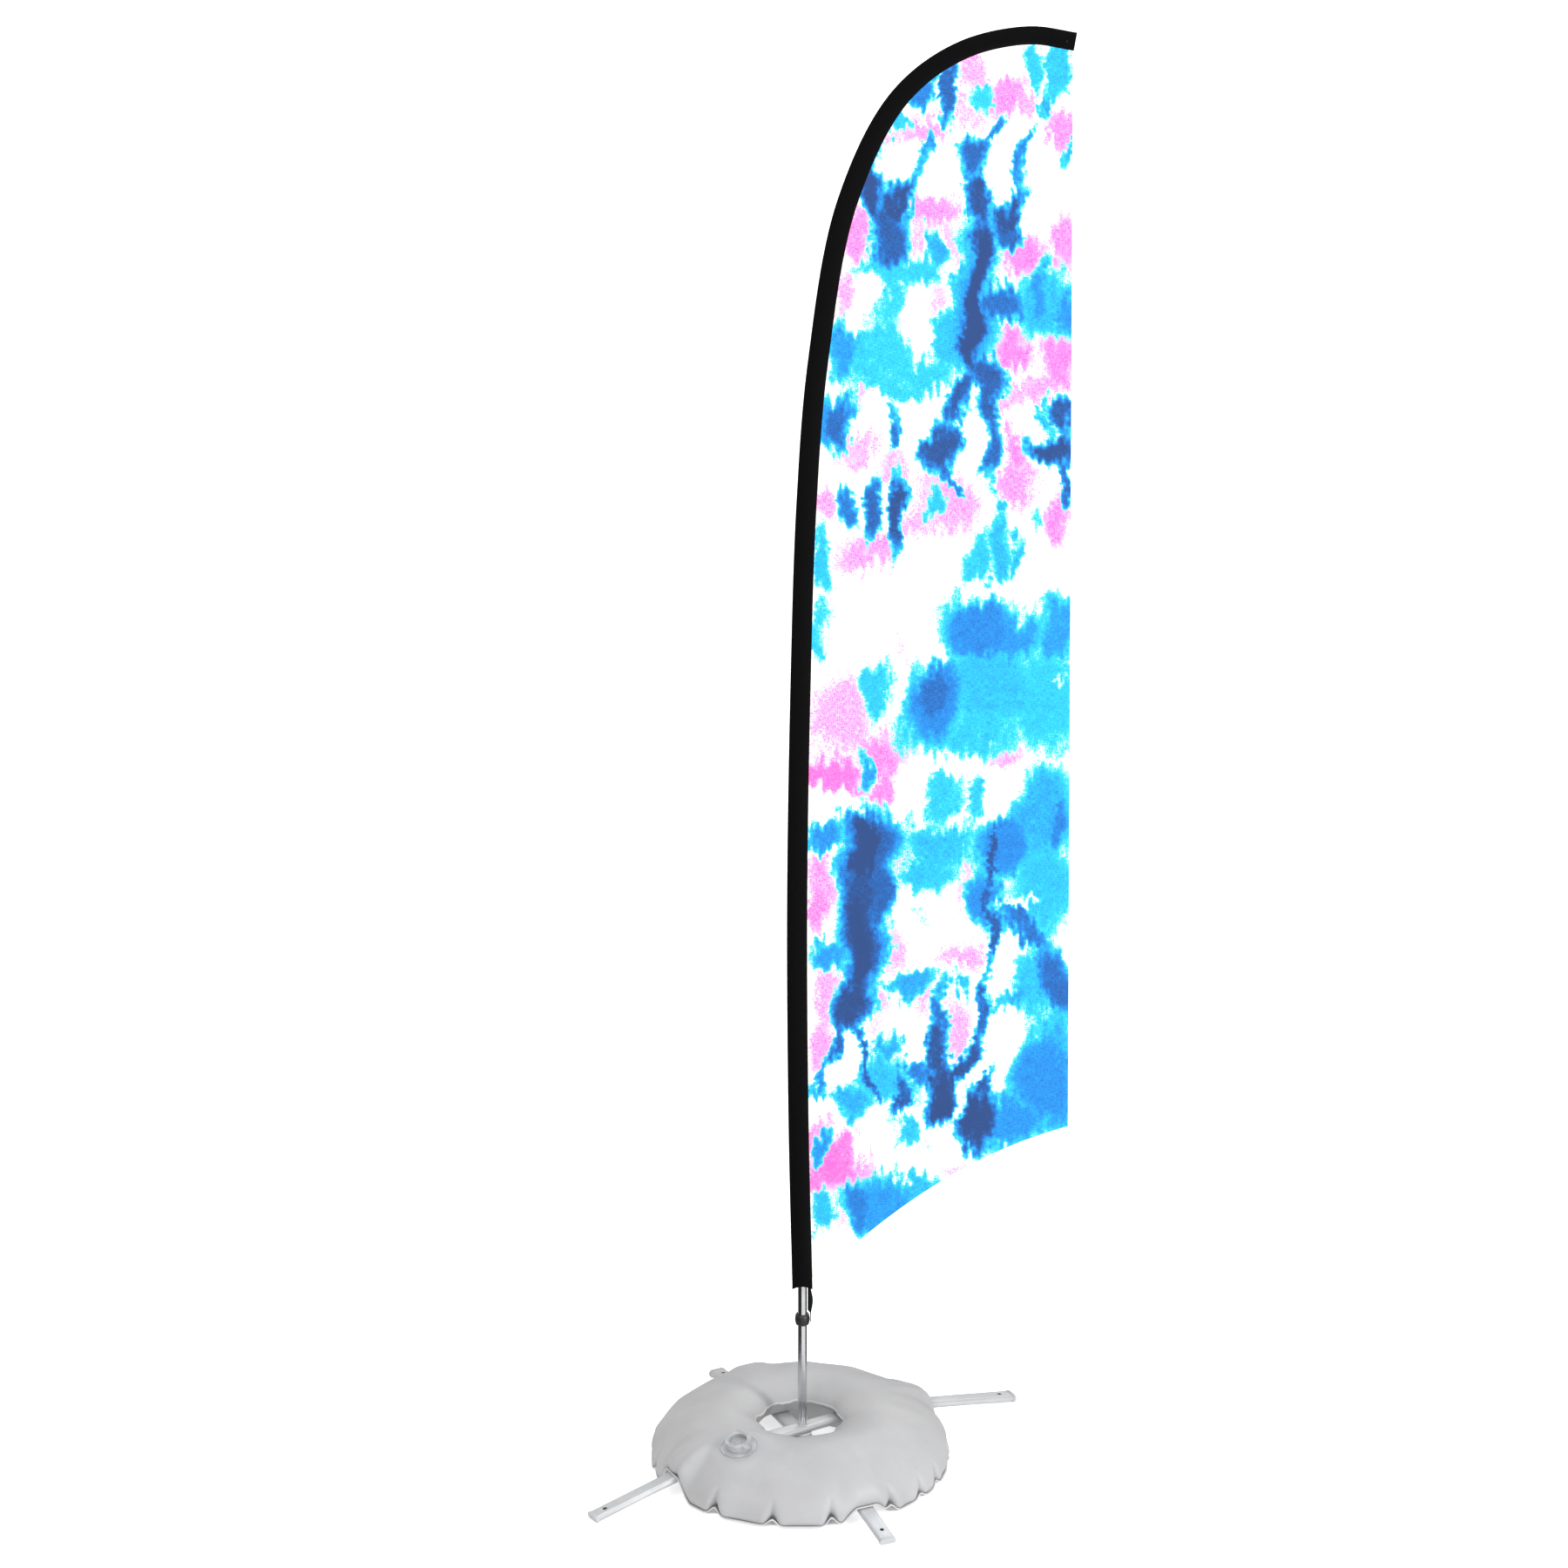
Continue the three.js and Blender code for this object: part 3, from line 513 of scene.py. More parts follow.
BLUE_DYE = [
    (43.2, 267.2, 2.4, 6.5, 0, 0.42), (39.4, 267.7, 1.7, 5.5, 0, 0.4), (42, 260.3, 1.2, 4, 0, 0.5),
    (40.4, 258, 1.2, 2, 0, 0.42), (24.3, 262.1, 1.4, 6.6, 0, 0.85), (20.3, 262, 2.2, 3.2, 0, 0.7),
    (23.2, 265.8, 3, 2, 0, 0.5), (30, 262.4, 2.4, 3.2, 15, 0.36), (16.3, 256, 2, 2.4, 0, 0.38),
    (20, 249.9, 1.2, 5.6, 9, 0.75), (28.8, 250.2, 3.6, 4.6, 0, 0.85), (31.5, 254.8, 1.1, 4.4, 26, 0.72),
    (37.6, 249, 1.2, 6, 15, 0.82), (12.8, 250.4, 1.8, 3.2, 0, 0.85), (12, 243.4, 2.9, 5, -8, 1.0),
    (17.4, 242.4, 2.8, 5.8, 30, 1.0), (14.6, 235.6, 3.3, 6.6, 0, 0.9), (29.4, 242.4, 2.6, 5, -6, 0.95),
    (34.8, 240, 2.8, 5.6, 35, 1.0), (34, 235.2, 3, 3.8, 0, 0.85), (29.4, 223.4, 2.2, 19, 2, 1.08),
    (29.2, 222, 4.2, 18, 0, 0.58), (33.8, 222.2, 4, 4, 0, 0.8), (40.8, 222.4, 5.8, 7.4, 0, 0.46),
    (40.6, 225.5, 1.5, 6.5, 0, 0.6), (44.8, 221, 1.8, 6, 0, 0.6), (25, 214.4, 3, 6.6, 0, 0.44),
    (31.7, 208.6, 3, 5.2, 0, 0.9), (26.5, 204.2, 2.3, 5.6, 28, 0.92), (31.9, 203, 2, 5.4, -14, 0.9),
    (13.7, 228.4, 7, 4.4, 0, 0.38), (19.6, 227.6, 4.6, 4, 0, 0.4), (13.6, 223.4, 3.2, 5.6, 0, 0.37),
    (12.8, 213, 9, 8.4, 0, 0.37), (7.4, 213.4, 3.4, 6.4, 0, 0.56), (20.4, 209.4, 6, 4.4, 0, 0.37),
    (15, 206, 8, 2.4, 0, 0.37), (14.7, 198.2, 1.1, 5.4, 0, 0.8), (6.8, 199.8, 2.9, 5.4, 10, 0.82),
    (4.4, 199, 1.6, 6, 0, 0.55), (23.6, 195.2, 3, 6, 0, 0.95), (25.3, 188.8, 1, 3.6, -22, 0.75),
    (32.4, 194.6, 1.7, 8, 0, 0.85), (44.3, 201, 1.9, 3.6, 0, 0.92), (41.3, 200.4, 1.1, 3.4, 0, 0.58),
    (42, 194.6, 4.6, 3.6, 0, 1.0), (43.9, 188, 1.1, 4.8, -10, 0.85), (22.2, 232.8, 2.2, 3.2, 0, 0.5),
    (26.4, 226, 1.6, 5, 0, 0.46), (45.2, 249.8, 1, 5, 0, 0.5), (7.4, 183.8, 2, 4.2, 0, 0.74),
    (12, 183, 1.6, 7.6, 11, 0.85), (16.1, 181.2, 1.5, 10, 5, 1.0), (22.2, 183.8, 1.8, 3.8, 0, 0.42),
    (3.6, 172.6, 2, 7, 0, 0.42), (2.6, 160.6, 1.7, 6, 0, 0.52), (5, 165.4, 2, 1.6, 0, 0.26),
    (30, 173.8, 2.2, 5.6, 10, 0.42), (33.8, 174.4, 2.3, 8.6, 0, 0.46), (36.8, 174.6, 1.1, 5, 0, 0.44),
    (34, 184, 1.1, 3, -12, 0.5), (40.6, 182, 1.5, 2.6, 0, 0.3), (30.2, 160.6, 8, 7.6, 0, 0.66),
    (36.6, 159, 6, 6, 0, 0.58), (43.8, 159.4, 3.6, 7.6, 0, 0.56), (32, 149, 10.5, 11, 0, 0.44),
    (41.4, 146, 7, 12, 0, 0.4), (22.2, 145.8, 5.6, 11, 8, 0.66), (21.8, 148.4, 3, 7, 0, 0.8),
    (30, 139.4, 8.6, 4, 0, 0.4), (12.8, 148.8, 2.7, 6, 0, 0.4), (10.6, 134, 1.3, 4.8, -16, 0.56),
    (24.1, 128.4, 2.8, 6.4, 0, 0.38), (28.7, 128.2, 1.7, 6, 0, 0.42), (18.9, 125.4, 1.3, 3, 0, 0.38),
    (11.6, 119.4, 5.8, 8, 0, 0.9), (10.4, 118.6, 3.4, 7.6, 0, 1.12), (3.4, 120.6, 3.4, 3.2, 0, 0.62),
    (23.4, 119.4, 7.4, 4.4, 0, 0.44), (41.4, 124, 6.6, 10, 0, 0.5), (43.7, 123, 1.7, 6, 0, 0.7),
    (34.4, 118.4, 5.6, 6.4, 0, 0.66), (32.3, 117.4, 0.7, 7, 0, 0.98), (10, 103.6, 4.4, 19, 0, 0.98),
    (9.8, 100, 2.8, 15, 0, 1.14), (13.4, 111, 3.4, 7.6, 0, 0.86), (8.6, 88.6, 3.5, 5, 0, 1.02),
    (6.2, 81.6, 1, 6, 8, 0.85), (3.6, 74, 1, 5, 22, 0.66), (11.1, 77.6, 0.9, 11, -7, 0.95),
    (3.8, 98, 3.4, 3.2, 0, 0.56), (16.2, 107.4, 2.4, 4.8, 0, 0.52), (22.1, 113.2, 6, 4.8, 0, 0.42),
    (20.6, 104.6, 1, 2.6, 0, 0.42), (18.4, 92.2, 4, 3.2, 0, 0.54), (27, 91.2, 1.9, 1.9, 0, 0.44),
    (31.5, 99.4, 0.9, 20, 3, 0.92), (31.6, 108, 3, 7, 0, 0.64), (23.5, 80.8, 1.6, 11, 0, 0.96),
    (23.6, 70.4, 3.7, 6.6, 0, 1.08), (27.5, 77, 1.8, 8.6, 26, 0.98), (29.8, 84.6, 1.1, 7.4, 5, 0.88),
    (20.2, 75.4, 1.8, 2.8, 0, 0.72), (15.6, 68.6, 1.2, 7.8, 17, 0.92), (30, 65.6, 3.2, 7, 0, 1.06),
    (31.7, 73.6, 0.8, 6, 8, 0.92), (28.3, 60.6, 1.3, 3, 32, 0.95), (41, 110.8, 6.8, 10.6, 0, 0.43),
    (37.6, 103, 7.4, 2.6, 38, 0.78), (42.9, 92, 3.4, 8.4, -8, 0.82), (38.6, 91, 4.4, 7, 0, 0.43),
    (41.4, 74.4, 6.6, 12, 0, 0.62), (35.8, 65, 6, 6, 0, 0.6), (34.9, 89.4, 3.6, 2.4, 0, 0.56),
    (15.6, 80.8, 2.8, 3.6, 0, 0.54), (13.7, 74, 6, 5.4, 0, 0.43), (8.2, 68.6, 3.4, 4.2, 0, 0.5),
    (2.4, 71.4, 2.6, 2.4, 0, 0.42), (3.3, 60.8, 1.5, 3.2, 15, 0.6), (17.7, 61.8, 2.4, 4.8, 0, 0.42),
    (21.3, 59.2, 1.2, 2.4, 0, 0.42), (13.7, 49.6, 7.4, 7.4, 0, 0.56), (10.2, 49.8, 2.6, 6, 0, 0.7),
    (19, 52.6, 5, 3.6, 20, 0.43), (3.3, 48, 2.6, 4.8, 0, 0.42), (2.8, 43.4, 2.4, 3, 0, 0.3),
]

BARE_CLOTH = [
    (16.1, 248, 3.2, 5.2, 0, 1), (23.4, 247.6, 4, 4.8, 0, 1), (33.4, 246.4, 2.9, 5.4, 0, 1),
    (41.2, 245, 4.4, 7, 0, 0.9), (10.8, 224.8, 2.8, 4, 0, 0.95), (9, 219, 1.6, 3, 0, 0.9),
    (19.4, 219.4, 3.2, 6.4, 0, 1), (11.4, 200.4, 3, 3.4, 0, 0.95), (19.4, 201, 5, 4.4, 0, 0.95),
    (28.9, 198.6, 2.6, 7.2, 0, 1), (39.2, 199.8, 2.6, 2.8, 0, 0.95), (10.6, 162, 9, 8.6, 0, 0.9),
    (22, 174, 7, 5, 0, 0.6), (22.2, 156.8, 1.8, 2.4, 0, 0.85), (18.4, 129.4, 2.9, 5.4, 0, 0.95),
    (24.4, 133.8, 6.4, 1.5, 0, 0.9), (33.6, 129, 3.6, 5.8, 0, 1), (5.6, 126.4, 6.8, 2.4, 0, 0.95),
    (43.5, 148.6, 1.5, 1.2, 0, 0.7), (38, 164, 2, 3, 0, 0.6), (8.7, 78.4, 2.1, 7.2, 0, 0.85),
    (17.6, 85, 6, 3.6, 0, 0.75), (33.3, 94.6, 2.7, 5, 0, 0.95), (33.4, 81.4, 3.4, 7.2, 0, 0.95),
    (36.4, 107, 4.4, 1.1, -16, 0.9), (24.6, 104, 5.2, 7.4, 0, 0.9), (17.2, 106, 2.4, 6.2, 0, 0.8),
    (11.8, 64, 4.2, 4.2, 0, 0.95), (20.4, 58.4, 8.6, 2.8, 0, 0.9), (23.6, 63, 2.3, 3.8, 0, 0.9),
    (2.8, 67.4, 3, 2.2, 0, 0.9), (5.6, 38.4, 6.4, 5.4, 0, 0.9), (27.6, 69, 1.1, 5, 28, 0.8),
    (35, 167.5, 7, 2.6, 0, 0.7),
]

PINK_DYE = [
    (28.4, 266.6, 3.6, 4.4, 0, 0.62), (33.5, 262, 5, 4.4, 0, 0.8), (37.8, 259.8, 2.6, 4, 0, 0.62),
    (26.9, 259, 4.4, 4, 0, 0.5), (20.3, 255, 5, 3, 0, 0.7), (16.4, 252.9, 3, 1.5, 0, 0.75),
    (43.8, 254.6, 3, 5, 0, 0.78), (22, 239.8, 5, 5, 0, 0.78), (9.6, 236, 2.8, 5.6, 0, 0.78),
    (19.4, 234.4, 3.6, 2.6, 0, 0.55), (26, 232.8, 2.2, 5, 0, 0.6), (36.8, 231.4, 4.6, 5, 0, 0.88),
    (43.8, 233, 3, 8.6, 0, 0.78), (7, 222.8, 2, 5.6, 0, 0.64), (22.7, 223, 2.4, 6, 0, 0.5),
    (31.8, 215.4, 2.5, 2.8, 0, 0.8), (36, 214.2, 4, 5, 0, 0.88), (43.8, 211.8, 3.6, 7.4, 0, 0.88),
    (40.2, 206.4, 4.4, 3.8, 0, 0.68), (35.4, 204.4, 3, 3, 0, 0.62), (10.4, 203, 3, 1.9, 0, 0.75),
    (8, 194.6, 5, 4, 0, 0.6), (36.4, 194.6, 2, 5.6, 0, 0.85), (16, 191, 4, 4, 0, 0.6),
    (24.4, 184, 6.4, 7.6, 0, 0.68), (11.8, 173.8, 6.4, 4.8, 0, 0.72), (20.3, 179, 5, 5, 0, 0.62),
    (36.8, 187.6, 3.6, 4, 0, 0.74), (43.9, 182.2, 2.4, 6.4, 0, 0.84), (3.8, 184, 2, 4.6, 0, 0.66),
    (17, 157.4, 1.5, 6, 0, 0.46), (6.4, 143.6, 7.4, 8.6, 0, 0.62), (14.2, 136.6, 7, 6, 0, 0.82),
    (4.4, 132.2, 6.6, 4.2, 0, 1.0), (8.2, 129.4, 5, 2, 0, 0.92), (14.2, 129.4, 2, 3.2, 0, 0.88),
    (19.4, 137.2, 2, 3.2, 0, 0.82), (34, 135, 3.2, 3.6, 0, 0.8), (17.6, 116.4, 1.9, 1.9, 0, 0.62),
    (28.4, 115.6, 1.6, 2, 0, 0.62), (3.3, 114.6, 2.4, 3, 0, 0.75), (41, 132, 4, 0.9, 0, 0.5),
    (3.2, 110.4, 3.2, 7.6, 0, 0.66), (2.2, 106, 2, 5, 0, 0.82), (16.2, 111, 2.5, 5, 0, 0.64),
    (14.7, 100.8, 3, 6.4, 0, 0.64), (29, 110, 2.4, 6, 0, 0.62), (26, 98.2, 5, 5, 0, 0.74),
    (22.6, 101, 1.9, 6, 0, 0.5), (32.9, 96, 2.4, 3.6, 0, 0.62), (3.8, 90, 3, 7.4, 0, 0.64),
    (3.4, 80, 2.5, 6.2, 0, 0.68), (8.7, 80, 1.9, 5, 0, 0.5), (13.2, 87, 2.4, 6.2, 0, 0.66),
    (21.6, 87.4, 3.6, 4.4, 0, 0.58), (26, 83, 2.4, 7.4, 0, 0.62), (32.8, 80.8, 3, 6, 0, 0.62),
    (5.8, 57.6, 5.4, 6.8, 0, 1.0), (10.8, 56.4, 2.4, 4.2, 0, 0.84), (2.4, 63, 2.4, 3.8, 0, 0.72),
    (2.8, 54, 3, 2.6, 0, 0.92), (25.6, 55.8, 2.4, 1.4, 0, 0.6), (6.4, 44.2, 1.9, 6, 0, 0.45),
]


def smooth_step(t):
    t = np.clip(t, 0, 1)
    return t * t * (3 - 2 * t)


def dye_field(places, shapes):
    """The strongest of the shapes at each place, each one fading out towards its rim."""
    total = np.zeros(len(places))
    for x, z, half_width, half_height, lean, strength in shapes:
        across, up = (places - [x, z]).T
        c, s = math.cos(math.radians(lean)), math.sin(math.radians(lean))
        away = np.hypot((across * c - up * s) / half_width, (across * s + up * c) / half_height)
        total = np.maximum(total, strength * smooth_step((1.32 - away) / 0.88))
    return total


def wicked(places):
    """Places in centimetres, shifted as wet dye wanders: widely, then along the threads, then finely."""

    def wander(scale_across, scale_up, reach_across, reach_up):
        shifts = [
            noise.noise_vector(Vector((x * scale_across, z * scale_up, scale_up))) for x, z in places
        ]
        return np.array(shifts)[:, :2] * [reach_across, reach_up]

    return places + wander(0.16, 0.16, 2.2, 2.8) + wander(1.5, 0.35, 0.4, 2.4) + wander(1.4, 1.3, 0.8, 0.9)


HEM_STITCH_LINE, HEM_STITCH_LENGTH = 0.011, 0.0035


def printed_cloth():
    """Tie-dye on canvas: soft-edged shapes that wick along the threads, on a fine weave."""
    look = Look("tie_dye_print", Roughness=0.85, Sheen_Weight=0.15, Sheen_Roughness=0.5)
    look.shader.inputs["Specular IOR Level"].default_value = 0.2
    metres = look.coords()
    flat = look.mapped(metres, (100, 0, 100))
    weft = look.noise(look.mapped(flat, (1.1, 1, 5.5)), 1.15, 2, 0.6)
    warp = look.noise(look.mapped(flat, (5.5, 1, 1.1)), 1.15, 2, 0.6)
    canvas = look.spread(look.math("ADD", weft, warp), 0.75, 1.25, -0.5, 0.5)
    cloud = look.noise(flat, 0.5, 4, 0.6)
    pink = look.add("Attribute", attribute_name="pink_dye").outputs["Fac"]
    blue = look.add("Attribute", attribute_name="blue_dye").outputs["Fac"]

    pink = look.math("ADD", pink, look.math("MULTIPLY", canvas, 0.62))
    blue = look.math("ADD", blue, look.math("MULTIPLY", canvas, 0.2))
    blue = look.math("ADD", blue, look.math("MULTIPLY", look.math("SUBTRACT", cloud, 0.5), 0.24))

    cloth = look.mix(look.spread(cloud, 0.35, 0.6), srgb(238, 238, 236), srgb(240, 238, 222))
    pinks = look.ramp(pink, (0.2, srgb(238, 200, 222)), (0.6, srgb(234, 140, 196)),
                      (1.0, srgb(236, 84, 176)))
    blues = look.ramp(blue, (0.12, srgb(110, 208, 236)), (0.3, srgb(30, 180, 236)),
                      (0.56, srgb(16, 124, 200)), (0.8, srgb(14, 84, 156)), (1.05, srgb(24, 56, 108)))
    tone = look.mix(look.spread(pink, 0.08, 0.42), cloth, pinks)
    tone = look.mix(look.spread(blue, 0.06, 0.26), tone, blues)

    warp_thread = look.bands(metres, 0.0009, "X")
    weft_thread = look.bands(metres, 0.0009, "Z")
    thread = look.math("MULTIPLY", warp_thread, weft_thread)
    look.colour(look.mix(look.math("MULTIPLY", thread, 0.06), tone, (0.25, 0.3, 0.4, 1)))
    stitched = look.add("Attribute", attribute_name="hem").outputs["Fac"]
    along = look.add("Attribute", attribute_name="along").outputs["Fac"]
    from_line = look.math("ABSOLUTE", look.math("SUBTRACT", stitched, HEM_STITCH_LINE))
    line = look.spread(from_line, 0.0005, 0.0012, 1, 0)
    turns = look.math("MULTIPLY", along, 2 * math.pi / HEM_STITCH_LENGTH)
    dash = look.spread(look.math("SINE", turns), -0.3, 0.2)
    height = look.math("ADD", thread, look.math("MULTIPLY", look.math("MULTIPLY", line, dash), 3.0))
    look.normal(look.bump(height, 0.0001))
    return look.material


# ---------------------------------------------------------------- the bowed pole's middle line

POLE_FOOT = 0.0701
BOW_FOOT, BOW_RISE, BOW_REACH = 0.340, 2.393, 0.462
BOW_SHAPE = [
    (0, 0), (-0.014, 0.13), (-0.0195, 0.301), (-0.0075, 0.476), (0.015, 0.627), (0.058, 0.742),
    (0.1645, 0.8675), (0.359, 0.9515), (0.584, 0.988), (0.829, 1), (1, 0.995),
]
TANGENT_REACH = 0.004


def smooth_through(points, steps, closed=False):
    """A centripetal Catmull-Rom curve through the points."""
    points = [np.array(p, float) for p in points]
    if closed:
        points = [points[-1], *points, points[0], points[1]]
    else:
        points = [2 * points[0] - points[1], *points, 2 * points[-1] - points[-2]]
    out = []
    for p0, p1, p2, p3 in zip(points, points[1:], points[2:], points[3:]):
        t0 = 0.0
        t1 = t0 + math.sqrt(np.linalg.norm(p1 - p0))
        t2 = t1 + math.sqrt(np.linalg.norm(p2 - p1))
        t3 = t2 + math.sqrt(np.linalg.norm(p3 - p2))
        for t in np.linspace(t1, t2, steps, endpoint=False):
            a1 = ((t1 - t) * p0 + (t - t0) * p1) / (t1 - t0)
            a2 = ((t2 - t) * p1 + (t - t1) * p2) / (t2 - t1)
            a3 = ((t3 - t) * p2 + (t - t2) * p3) / (t3 - t2)
            b1 = ((t2 - t) * a1 + (t - t0) * a2) / (t2 - t0)
            b2 = ((t3 - t) * a2 + (t - t1) * a3) / (t3 - t1)
            out.append(((t2 - t) * b1 + (t - t1) * b2) / (t2 - t1))
    if not closed:
        out.append(points[-2])
    return np.array(out)


class Spine:
    """The pole's middle line, by distance from its foot, in the plane of the flag."""

    def __init__(self):
        bow = smooth_through(
            [(x * BOW_REACH, BOW_FOOT + z * BOW_RISE) for x, z in BOW_SHAPE], 40
        )
        line = np.vstack([[(0, POLE_FOOT)], bow]) + [POLE_X, 0]
        self.line = line
        self.along = np.r_[0, np.cumsum(np.linalg.norm(np.diff(line, axis=0), axis=1))]
        self.length = self.along[-1]

    def points(self, s):
        return np.c_[[np.interp(s, self.along, self.line[:, k]) for k in (0, 1)]].T

    def at(self, s):
        """Points and unit tangents at distances s."""
        s = np.atleast_1d(s)
        before, after = (np.clip(s + reach, 0, self.length) for reach in (-TANGENT_REACH, TANGENT_REACH))
        tangent = self.points(after) - self.points(before)
        return self.points(s), tangent / np.linalg.norm(tangent, axis=1)[:, None]


spine = Spine()
POLE_RADIUS, POLE_WALL, TUBE_SIDES = 0.008, 0.0012, 48
TUBE_TOPS = (0.570, 1.270, 2.000)


def swept(name, s, rings):
    """A tube along the spine, with one ring of (across the flag, through it) points for each place in s."""
    place, tangent = spine.at(s)
    points = []
    for (x, z), (tx, tz), ring in zip(place, tangent, rings):
        points += [(x + a * tz, b, z - a * tx) for a, b in ring]
    return mesh_object(name, points, grid_faces(len(s), len(rings[0]), wrap_columns=True))


def circle(radius, sides):
    turns = np.linspace(0, 2 * math.pi, sides, endpoint=False)
    return np.c_[radius * np.cos(turns), radius * np.sin(turns)]


# ---------------------------------------------------------------- pole, sleeve and banner

SLEEVE_HALF = 0.0175
SLEEVE_HALF_GIRTH = 0.038
SLEEVE_SIDES = 44
SLEEVE_STEP = 0.012
SLEEVE_ARCH = 0.010  # how far the sleeve's lower edge arches up over the pole
SLEEVE_ARCH_FADE = 0.05
EDGE_LAY = 0.0009  # half the sleeve's depth where it lies flat
SLEEVE_START = 0.329 - POLE_FOOT
POCKET_LENGTH = 0.044
CLOTH = 0.0006
BANNER_HEEL, BANNER_RISE, BANNER_INSET, BANNER_HOLLOW = 0.013, 0.305, 0.009, 0.0855
HEM_WIDTH, HEM_FADE = 0.0125, 0.35


def make_chrome_tube():
    """The lower tube with a rolled foot; walls are open at both ends."""
    outer, bore = POLE_RADIUS, POLE_RADIUS - POLE_WALL
    top = TUBE_TOPS[0]
    steps = [(0.0006, bore), (0.0, bore + 0.0003), (0.0, outer - 0.0004), (0.0003, outer - 0.0001),
             (0.0008, outer), *[(s, outer) for s in np.linspace(0.02, top - 0.001, 40)],
             (top, outer - 0.0003), (top, bore + 0.0002), (top - 0.0005, bore),
             *[(s, bore) for s in np.linspace(top - 0.02, 0.02, 12)]]
    s = np.array([s for s, _ in steps])
    piece = swept("pole_tube_look", s, [circle(r, TUBE_SIDES) for _, r in steps])
    last = (len(steps) - 1) * TUBE_SIDES
    work = bmesh.new()
    work.from_mesh(piece.data)
    work.verts.ensure_lookup_table()
    for j in range(TUBE_SIDES):
        k = (j + 1) % TUBE_SIDES
        work.faces.new([work.verts[i] for i in (last + j, last + k, k, j)])
    work.to_mesh(piece.data)
    work.free()
    return tidy_mesh(piece, sharp=50)


def pole_room(s):
    """Half the sleeve's depth over the pole at each place along it: it slims with the tubes inside."""
    radius = np.interp(
        s, (0, TUBE_TOPS[0] + 0.02, TUBE_TOPS[0] + 0.07, TUBE_TOPS[1] + 0.02, TUBE_TOPS[1] + 0.07,
            TUBE_TOPS[2] + 0.02, TUBE_TOPS[2] + 0.07, 3.0),
        (0.008, 0.008, 0.0068, 0.0068, 0.0053, 0.0053, 0.0044, 0.0044),
    )
    return radius + 0.0011


def sleeve_ring(half, depth):
    """A lens: cloth lies flat at the seam and the fold, and rises over the pole."""
    turns = np.linspace(0, 2 * math.pi, SLEEVE_SIDES, endpoint=False)
    across = half * np.cos(turns)
    share = across / half
    rise = EDGE_LAY + (depth - EDGE_LAY) * (1 - np.abs(share) ** 2.4) ** 1.1
    return np.c_[across, rise * np.sign(np.sin(turns)) * np.abs(np.sin(turns)) ** 0.35]


def sleeve_rings(s, end, closed_end):
    """The sleeve's outer and inner rings at the places s, pinched flat towards a closed end."""
    outer, inner = [], []
    for place in s:
        pinch = 1.0
        if closed_end:
            pinch = 0.16 + 0.84 * min(1.0, max(0.0, (end - place) / 0.012)) ** 0.6
        ring = sleeve_ring(SLEEVE_HALF, EDGE_LAY + (float(pole_room(place)) - EDGE_LAY) * pinch)
        outer.append(ring)
        within = [(SLEEVE_HALF - CLOTH) / SLEEVE_HALF, 0.93] if pinch > 0.5 else [0.97, 0.5]
        inner.append(ring * within)
    return outer, inner


def closing_faces(first):
    """Zips up the ring that starts at point first: each face joins its two sides."""
    faces = []
    for j in range(SLEEVE_SIDES // 2):
        across = first + (SLEEVE_SIDES - j) % SLEEVE_SIDES
        after = first + (SLEEVE_SIDES - j - 1) % SLEEVE_SIDES
        faces.append(tuple(dict.fromkeys((first + j, first + j + 1, after, across))))
    return faces


def sleeve_mesh(name, start, end, arch, closed_end):
    """A sleeve of cloth with an inside, and UVs: u from the banner's edge round it, v along it."""
    s = np.linspace(start, end, max(6, int((end - start) / SLEEVE_STEP)))
    s = np.insert(s, 1, start + np.array([0.0005, 0.003, 0.006]))
    turns = np.linspace(0, 2 * math.pi, SLEEVE_SIDES, endpoint=False)
    around = np.abs(np.where(turns > math.pi, turns - 2 * math.pi, turns)) / math.pi * SLEEVE_HALF_GIRTH
    place, tangent = spine.at(s)
    points, uv = [], []
    for rings, sign in zip(sleeve_rings(s, end, closed_end), (1, -1)):
        for gone, (x, z), (tx, tz), ring in zip(s, place, tangent, rings):
            lift = arch * max(0.0, 1 - (gone - start) / SLEEVE_ARCH_FADE) ** 2
            for u, (a, b) in zip(around, ring):
                raise_by = lift * (1 - (a / SLEEVE_HALF) ** 2)
                ripple = 0.00035 * noise.noise(Vector((a * 60, b * 60, gone * 14))) * sign
                points.append((x + a * tz + tx * raise_by, b * (1 + 14 * ripple), z - a * tx + tz * raise_by))
                uv.append((u, gone + raise_by))

    outside = grid_faces(len(s), SLEEVE_SIDES, wrap_columns=True)
    back = len(s) * SLEEVE_SIDES
    last = back - SLEEVE_SIDES
    faces = outside + [tuple(back + i for i in face)[::-1] for face in outside]
    for j in range(SLEEVE_SIDES):
        k = (j + 1) % SLEEVE_SIDES
        faces.append((j, back + j, back + k, k))
        if not closed_end:
            faces.append((last + j, last + k, back + last + k, back + last + j))
    if closed_end:
        faces += closing_faces(last) + [face[::-1] for face in closing_faces(back + last)]
    piece = mesh_object(name, points, faces)
    set_uv(piece, uv)
    return tidy_mesh(piece, sharp=60, join=False)


